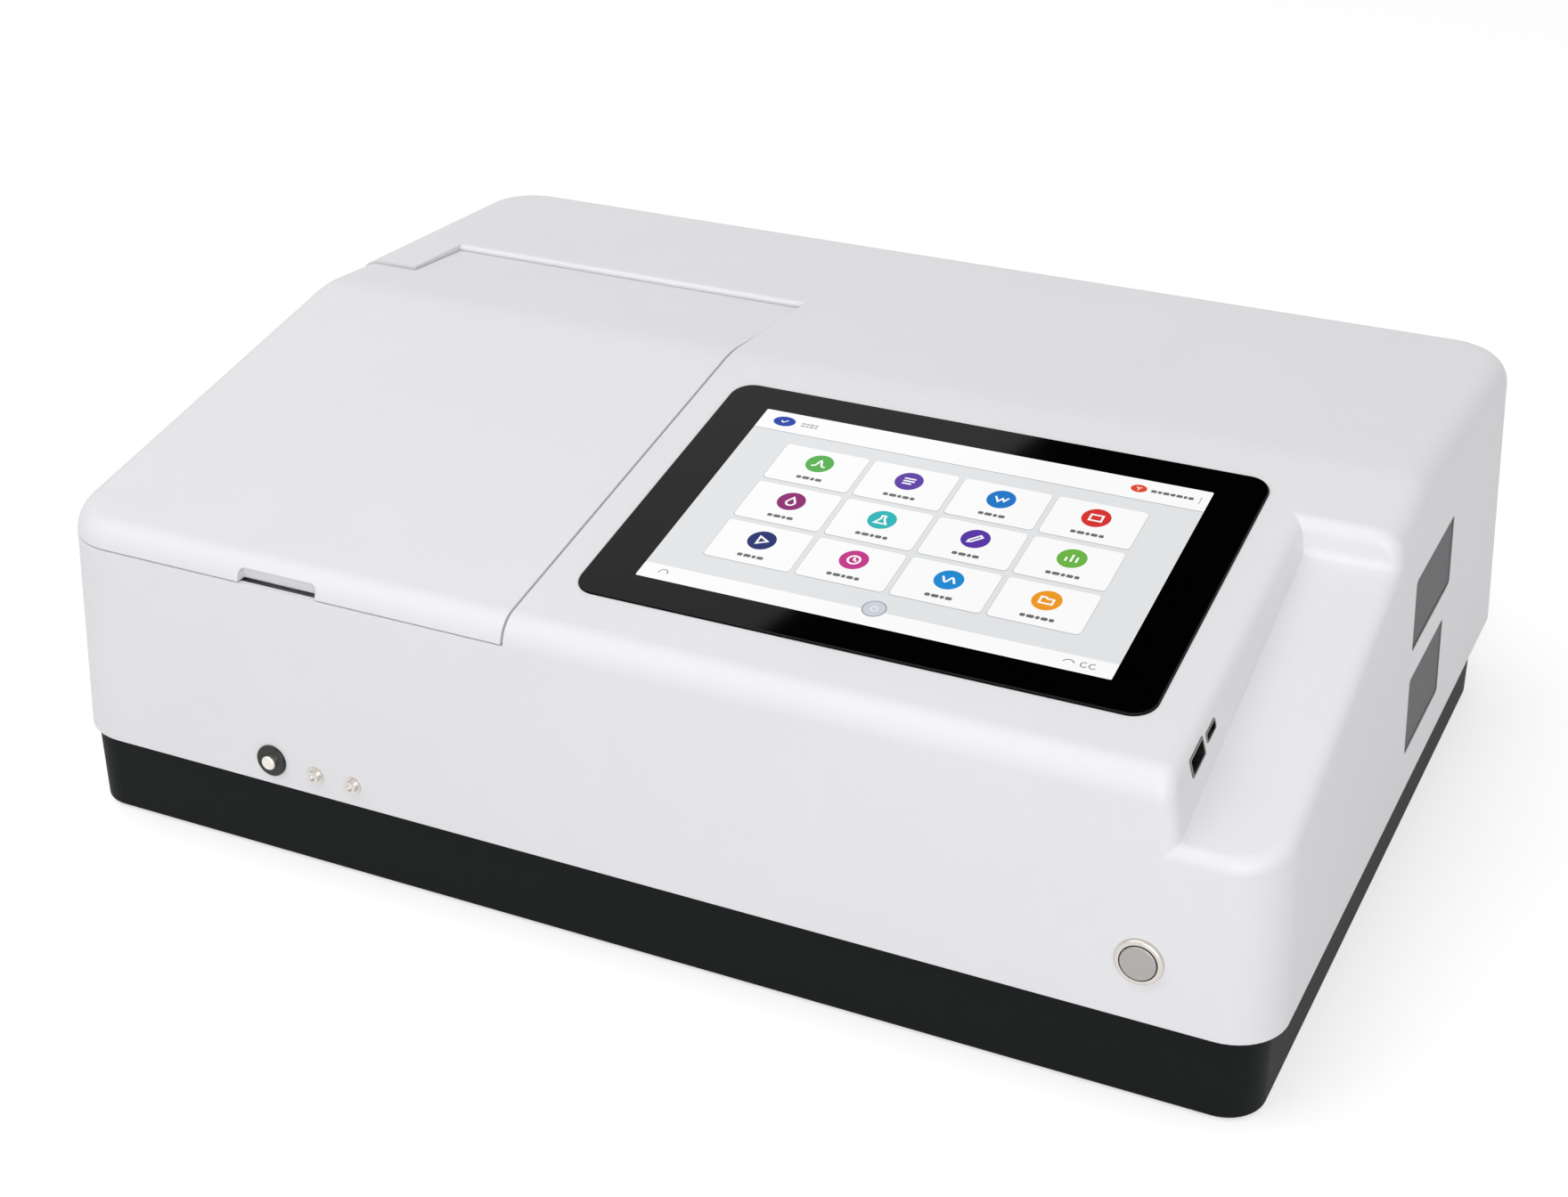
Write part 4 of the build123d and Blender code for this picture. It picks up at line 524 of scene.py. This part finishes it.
TILE_SIGNS = (("peak", "55B04C"), ("list", "5B3AA6"), ("trace", "1C76C9"), ("cell", "D8342F"),
              ("drop", "8E1C6E"), ("flask", "27B5B8"), ("pen", "5735A6"), ("bars", "6BB544"),
              ("play", "16266F"), ("clock", "C43289"), ("wave", "1E8AD2"), ("folder", "EE9A22"))


class SPECTRO_OT_housing(bpy.types.Operator):
    """Finish the cover, the lid, the base tray, the vents and the feet"""
    bl_idname = "spectro.housing"
    bl_label = "Housing"

    def execute(self, context):
        finish = context.scene.housing_finish
        white = moulded_abs("white_abs_spark_eroded", finish.cover, finish.grain, finish.edge, 0.42, 0.22)
        # The low shine keeps the base near black beside the white floor
        black = moulded_abs("black_abs_fine_grain", finish.base, finish.grain, finish.edge, 0.6, 0.3, 0.1)
        finish_nodes(white, "main_cover", "sample_lid")
        finish_nodes(black, "base_tray")
        # Thread spacing is drawn three times as coarse as the cloth so that it shows
        finish_nodes(filter_cloth("grey_filter_cloth", finish.vent, 1.2 * MM),
                     "vent_panel_upper", "vent_panel_lower")
        finish_nodes(rubber("black_nitrile_rubber", "141414", 1.5 * MM), "rubber_feet", "bench_mounts")
        finish_nodes(rubber("closed_cell_foam", "1A1A1B", 0.8 * MM), "chamber_seal")
        finish_nodes(moulded_abs("black_light_shield", "131313", finish.grain, finish.edge, 0.75, 0.3),
                     "lid_liner")
        return {"FINISHED"}


class SPECTRO_OT_controls(bpy.types.Operator):
    """Finish the power button, the pull rod, the screws, the hinges and the sockets"""
    bl_idname = "spectro.controls"
    bl_label = "Controls and sockets"

    def execute(self, context):
        low, high = (Vector(corner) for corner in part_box("power_button_body"))
        # The button stands square to the front wall, which leans back by the moulding's draft
        lean = math.radians(2.5)
        outwards = (0.0, -math.cos(lean), math.sin(lean))
        centre = (low + high) / 2
        finish_nodes(turned_steel("faced_stainless_ring", "D2CCC6", centre, outwards, 0.35 * MM, 0.26),
                     "power_button_body")
        finish_nodes(turned_steel("blasted_stainless_cap", "A9A6A4", centre, outwards, 0.25 * MM, 0.45),
                     "power_button_cap")
        low, high = (Vector(corner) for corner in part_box("pull_rod"))
        lengthwise = (0.0, 1.0, 0.0)
        centre = (low + high) / 2
        finish_nodes(turned_steel("ground_stainless_rod", "E6E0D8", centre, lengthwise, 0.3 * MM, 0.3),
                     "pull_rod", "guide_rods")
        finish_nodes(gloss_plastic("black_acetal", "0A0A0A", 0.25, 4 * MM), "rod_bush")
        finish_nodes(plated_steel("nickel_plated_screw", "DAD6D2", 2 * MM, 0.28), "front_screws")
        finish_nodes(plated_steel("zinc_plated_steel", "B9BBBE", 3 * MM, 0.35),
                     "cover_screws", "hinge_brackets", "hinge_pins", "power_button_nut")
        finish_nodes(plated_steel("tinned_socket_shell", "8D8B88", 3 * MM, 0.3), "usb_socket", "aux_socket",
                     "data_socket")
        finish_nodes(plated_steel("galvanised_sheet", "A9ACAF", 12 * MM, 0.42), "rear_panel", "display_tray",
                     "power_supply")
        finish_nodes(gloss_plastic("black_polyamide", "101011", 0.4, 6 * MM),
                     "power_inlet", "fan_frame", "fan_rotor", "fan_guard")
        return {"FINISHED"}


class SPECTRO_OT_optics(bpy.types.Operator):
    """Finish the sample chamber, the optical bench and everything that stands on it"""
    bl_idname = "spectro.optics"
    bl_label = "Optics"

    def execute(self, context):
        finish_nodes(anodised_aluminium("black_anodised_aluminium", "1B1B1C", 0.6 * MM, 0.45, 0.6),
                     "sample_chamber", "cell_carriage", "reference_cell_holder", "monochromator_cover",
                     "slit_plates", "filter_wheel", "beam_block", "detector_block")
        finish_nodes(anodised_aluminium("milled_aluminium", "C9CBCD", 0.8 * MM, 0.34, 1.0), "grating_turret",
                     "mirror_turret")
        finish_nodes(cast_aluminium("cast_aluminium_grey_paint", "6E7173", 1.6 * MM), "optical_bench",
                     "monochromator_case", "lamp_house")
        finish_nodes(clear_quartz("fused_silica", "F4F8FA"),
                     "chamber_windows", "beam_lenses", "filter_glasses", "beam_splitter", "deuterium_lamp",
                     "halogen_lamp")
        finish_nodes(coated_mirror("aluminium_front_mirror", "E8E9EA"),
                     "grating", "lamp_mirror", "fold_mirror")
        finish_nodes(anodised_aluminium("painted_motor_can", "2A2B2D", 1.0 * MM, 0.4, 0.3), "grating_motor",
                     "mirror_motor", "filter_motor", "photodiodes")
        finish_nodes(solder_mask("green_solder_mask", "0C4A26", 0.5 * MM), "display_board", "main_board")
        return {"FINISHED"}


class SPECTRO_OT_screen(bpy.types.Operator):
    """Lay out the touch screen's home page over the glass"""
    bl_idname = "spectro.screen"
    bl_label = "Touch screen"

    def execute(self, context):
        layout = context.scene.screen_layout
        finish_nodes(printed_glass("black_printed_glass", "020202"), "touch_glass")
        finish_nodes(lit_pixels("display_backlight", "C8CCD0", 0.5), "lcd_panel")
        tile = lit_pixels("tile_pixels", layout.tile)
        white = lit_pixels("sign_pixels", "FFFFFF")
        pitch = [v / MM for v in layout.pitch]
        places = [((column - (layout.columns - 1) / 2) * pitch[0] + TILES_SHIFT[0],
                   ((layout.rows - 1) / 2 - row) * pitch[1] + TILES_SHIFT[1])
                  for row in range(layout.rows) for column in range(layout.columns)]
        self.page(layout, tile)
        self.tiles([v / MM for v in layout.tile_size], places, tile)
        self.discs(layout.disc / MM, places, white)
        screen_piece("screen_marks", lambda mesh: self.marks(mesh, places),
                     lit_pixels("mark_pixels", layout.mark))
        self.spots(white)
        self.home_key()
        return {"FINISHED"}

    def page(self, layout, tile):
        """Grey page with its header and footer."""
        width, height = PAGE_SIZE
        screen_piece("screen_page",
                     lambda mesh: slab(mesh, rounded(width, height, 0.8), PAGE_MIDDLE, *PAGE_LAYER),
                     lit_pixels("page_pixels", layout.page))

        def bars(mesh):
            slab(mesh, rounded(width, HEADER, 0.6), (PAGE_MIDDLE[0], HEADER_MIDDLE), *BAR_LAYER)
            slab(mesh, rounded(width, FOOTER, 0.6), (PAGE_MIDDLE[0], PAGE_BOTTOM + FOOTER / 2), *BAR_LAYER)
        screen_piece("screen_bars", bars, tile)

    def tiles(self, size, places, tile):
        """Tiles, each on a slightly larger and lower grey one that shows as its edge."""
        def lines(mesh):
            slab(mesh, rounded(PAGE_SIZE[0], EDGE_LINE, 0.2),
                 (PAGE_MIDDLE[0], PAGE_TOP - HEADER - EDGE_LINE / 2), *LINE_LAYER)
            for x, y in places:
                slab(mesh, rounded(size[0] + EDGE_LINE, size[1] + EDGE_LINE, 2.2), (x, y - EDGE_LINE / 2),
                     *LINE_LAYER)
        screen_piece("screen_lines", lines, lit_pixels("line_pixels", "B9BBBF"))

        def faces(mesh):
            for at in places:
                slab(mesh, rounded(size[0], size[1], 2.0), at, *TILE_LAYER)
        screen_piece("screen_tiles", faces, tile)

    def discs(self, disc, places, white):
        """Coloured disc on each tile, with its plain white sign."""
        spots = [(x, y + SIGN_RISE) for x, y in places]
        for number, (spot, (sign, colour)) in enumerate(zip(spots, TILE_SIGNS)):
            screen_piece(f"screen_disc_{number + 1}",
                         lambda mesh: slab(mesh, oval(2 * disc, 2 * disc), spot, *ON_TILE),
                         lit_pixels(f"{sign}_disc_pixels", colour))

        def signs(mesh):
            for spot, (sign, _) in zip(spots, TILE_SIGNS):
                for points, closed in SIGNS[sign]:
                    scaled = [(x * disc * 0.52, y * disc * 0.52) for x, y in points]
                    stroke(mesh, scaled, 0.95, spot, *ON_DISC, closed)
        screen_piece("screen_signs", signs, white)

    def marks(self, mesh, places):
        """Rows of bars in place of writing, and the small signs in the header and the footer."""
        for number, (x, y) in enumerate(places):
            lengths = (2.4, 3.4, 1.8, 3.0, 2.2)[:4 + number % 2]
            self.words(mesh, (x, y - LABEL_DROP), lengths, 2.0, 0.6, ON_TILE)
        self.words(mesh, (92.8, HEADER_WRITING), (2.6, 1.8, 3.0, 2.2, 2.8, 1.6, 2.4), 1.9, 0.5, ON_BAR)
        for row in (-0.9, 0.9):
            self.words(mesh, (-83.0, HEADER_WRITING + row), (1.9, 1.4, 2.2, 1.6), 0.7, 0.4, ON_BAR)
        slab(mesh, rounded(0.3, 5.0, 0.1), (105.6, HEADER_MIDDLE), *ON_BAR)
        for x, up, shape in ((-97.0, 5.2, arc(0, 0, 2.0, 200, -20)), (89.4, 4.8, arc(0, -0.8, 2.6, 160, 20)),
                             (96.0, 5.2, arc(0, 0, 1.5, 60, 330)), (99.8, 5.2, arc(0, 0, 1.5, 60, 330))):
            stroke(mesh, shape, 0.45, (x, PAGE_BOTTOM + up), *ON_BAR)

    def spots(self, white):
        """Blue and red spots at the ends of the header, with their signs."""
        screen_piece("screen_menu_spot", lambda mesh: slab(mesh, oval(11.0, 7.6), MENU_SPOT, *ON_BAR),
                     lit_pixels("blue_menu_pixels", "153FA8"))
        screen_piece("screen_user_spot", lambda mesh: slab(mesh, oval(7.4, 5.6), USER_SPOT, *ON_BAR),
                     lit_pixels("red_user_pixels", "E2492B"))

        def signs(mesh):
            stroke(mesh, [(-1.6, 0.5), (-0.4, -0.9), (1.7, 1.0)], 0.6, MENU_SPOT, *ON_TILE)
            stroke(mesh, [(-1.2, 0.9), (0, 0.3), (1.2, 0.9)], 0.5, USER_SPOT, *ON_TILE)
            stroke(mesh, [(0, 0.2), (0, -1.4)], 0.5, USER_SPOT, *ON_TILE)
        screen_piece("screen_spot_signs", signs, white)

    def home_key(self):
        """Round key at the foot of the page."""
        screen_piece("home_key_rim", lambda mesh: slab(mesh, oval(10.8, 10.8), HOME_KEY, *HOME_RIM_LAYER),
                     lit_pixels("home_rim_pixels", "8E939B"))
        screen_piece("home_key_face", lambda mesh: slab(mesh, oval(9.8, 9.8), HOME_KEY, *HOME_FACE_LAYER),
                     lit_pixels("home_face_pixels", "CDD3DC"))
        ring = arc(0, 0, 1.5, 0, 345, 23)
        screen_piece("home_key_sign",
                     lambda mesh: stroke(mesh, ring, 0.5, HOME_KEY, *HOME_SIGN_LAYER, closed=True),
                     lit_pixels("home_sign_pixels", "F2F4F8"))

    @staticmethod
    def words(mesh, at, lengths, height, gap, layer):
        """Row of small bars that stands for a line of writing."""
        total = sum(lengths) + gap * (len(lengths) - 1)
        x = at[0] - total / 2
        for length in lengths:
            corner = min(height, length) * 0.3
            slab(mesh, rounded(length, height, corner, 3), (x + length / 2, at[1]), *layer)
            x += length + gap


class SPECTRO_OT_studio(bpy.types.Operator):
    """Set the floor, the sky, the soft lights and the camera"""
    bl_idname = "spectro.studio"
    bl_label = "Studio"

    def execute(self, context):
        studio = context.scene.studio_settings
        self.floor(studio.floor)
        self.sky(studio.sky)
        self.lamp("key_light", studio.key, KEY_SIZE, KEY_PLACE, KEY_TARGET)
        self.lamp("fill_light", studio.fill, FILL_SIZE, FILL_PLACE, FILL_TARGET)
        self.card()
        data = bpy.data.cameras.new("product_camera")
        data.sensor_fit = "HORIZONTAL"
        data.sensor_width = SENSOR_WIDTH
        data.lens = studio.lens
        camera = bpy.data.objects.new("product_camera", data)
        camera.location = CAMERA_PLACE
        camera.rotation_euler = Euler([math.radians(turn) for turn in CAMERA_TURN])
        bpy.context.collection.objects.link(camera)
        context.scene.camera = camera
        context.scene.view_settings.view_transform = "Standard"
        return {"FINISHED"}

    def floor(self, grey):
        """Wide pale floor that reads white and keeps the object's shadow."""
        material, tree, place = start("pale_paper_floor")
        fibre = noise(tree, place, 4 * MM, 4.0)
        paper = add(tree, "ShaderNodeBsdfDiffuse", links={"Color": spread(tree, fibre, grey * 0.99, grey)})
        share = add(tree, "ShaderNodeMath", {1: FLOOR_GLOW}, {0: seen_directly(tree)}, operation="MULTIPLY")
        glow = add(tree, "ShaderNodeEmission", {"Color": (1, 1, 1, 1)}, {"Strength": share.outputs[0]})
        close(tree, add(tree, "ShaderNodeAddShader", links={0: paper.outputs[0], 1: glow.outputs[0]}))
        mesh = bmesh.new()
        bmesh.ops.create_grid(mesh, x_segments=8, y_segments=8, size=FLOOR_HALF)
        floor = mesh_object("floor", mesh, material)

    def sky(self, strength):
        """Even surrounding light, seen as white by the camera and in reflections."""
        world = bpy.data.worlds.new("studio_sky")
        bpy.context.scene.world = world
        world.use_nodes = True
        tree = world.node_tree
        tree.nodes.clear()
        light = spread(tree, seen_directly(tree), strength, 1.0)
        back = add(tree, "ShaderNodeBackground", {"Color": (1, 1, 1, 1)}, {"Strength": light})
        add(tree, "ShaderNodeOutputWorld", links={"Surface": back.outputs[0]})

    def lamp(self, name, power, size, place, target):
        """Square soft light aimed at a point."""
        data = bpy.data.lights.new(name, "AREA")
        data.energy = power
        data.size = size
        lamp = bpy.data.objects.new(name, data)
        lamp.location = place
        lamp.rotation_euler = (Vector(target) - Vector(place)).to_track_quat("-Z", "Y").to_euler()
        bpy.context.collection.objects.link(lamp)

    def card(self):
        """Black card behind the object that only reflections see, so that the glass has a dark side."""
        material, tree, place = start("black_velvet_card")
        pile = noise(tree, place, 3 * MM, 2.0)
        close(tree, add(tree, "ShaderNodeBsdfDiffuse", links={"Color": spread(tree, pile, 0.0, 0.004)}))
        mesh = bmesh.new()
        mesh.faces.new([mesh.verts.new(corner) for corner in CARD_CORNERS])
        card = mesh_object("reflection_card", mesh, material)
        card.visible_camera = False
        card.visible_diffuse = False
        card.visible_shadow = False
        card.visible_transmission = False


class SPECTRO_PT_finish(bpy.types.Panel):
    """Sidebar list of the finishing steps"""
    bl_label = "Spectrophotometer"
    bl_idname = "SPECTRO_PT_finish"
    bl_space_type = "VIEW_3D"
    bl_region_type = "UI"
    bl_category = "Spectrophotometer"

    def draw(self, context):
        for group in (getattr(context.scene, name) for name in GROUPS):
            box = self.layout.box()
            for name in group.__annotations__:
                box.prop(group, name)
        for operator in STEPS:
            self.layout.operator(operator.bl_idname)


STEPS = (SPECTRO_OT_housing, SPECTRO_OT_controls, SPECTRO_OT_optics, SPECTRO_OT_screen, SPECTRO_OT_studio)
GROUPS = {"housing_finish": HousingFinish, "screen_layout": ScreenLayout, "studio_settings": StudioSettings}
CLASSES = tuple(GROUPS.values()) + STEPS + (SPECTRO_PT_finish,)


def register():
    for cls in CLASSES:
        bpy.utils.register_class(cls)
    for name, group in GROUPS.items():
        setattr(bpy.types.Scene, name, PointerProperty(type=group))


def unregister():
    for name in GROUPS:
        delattr(bpy.types.Scene, name)
    for cls in reversed(CLASSES):
        bpy.utils.unregister_class(cls)


def main():
    """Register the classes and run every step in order."""
    register()
    bpy.ops.spectro.housing()
    bpy.ops.spectro.controls()
    bpy.ops.spectro.optics()
    bpy.ops.spectro.screen()
    bpy.ops.spectro.studio()


if __name__ == "__main__":
    main()
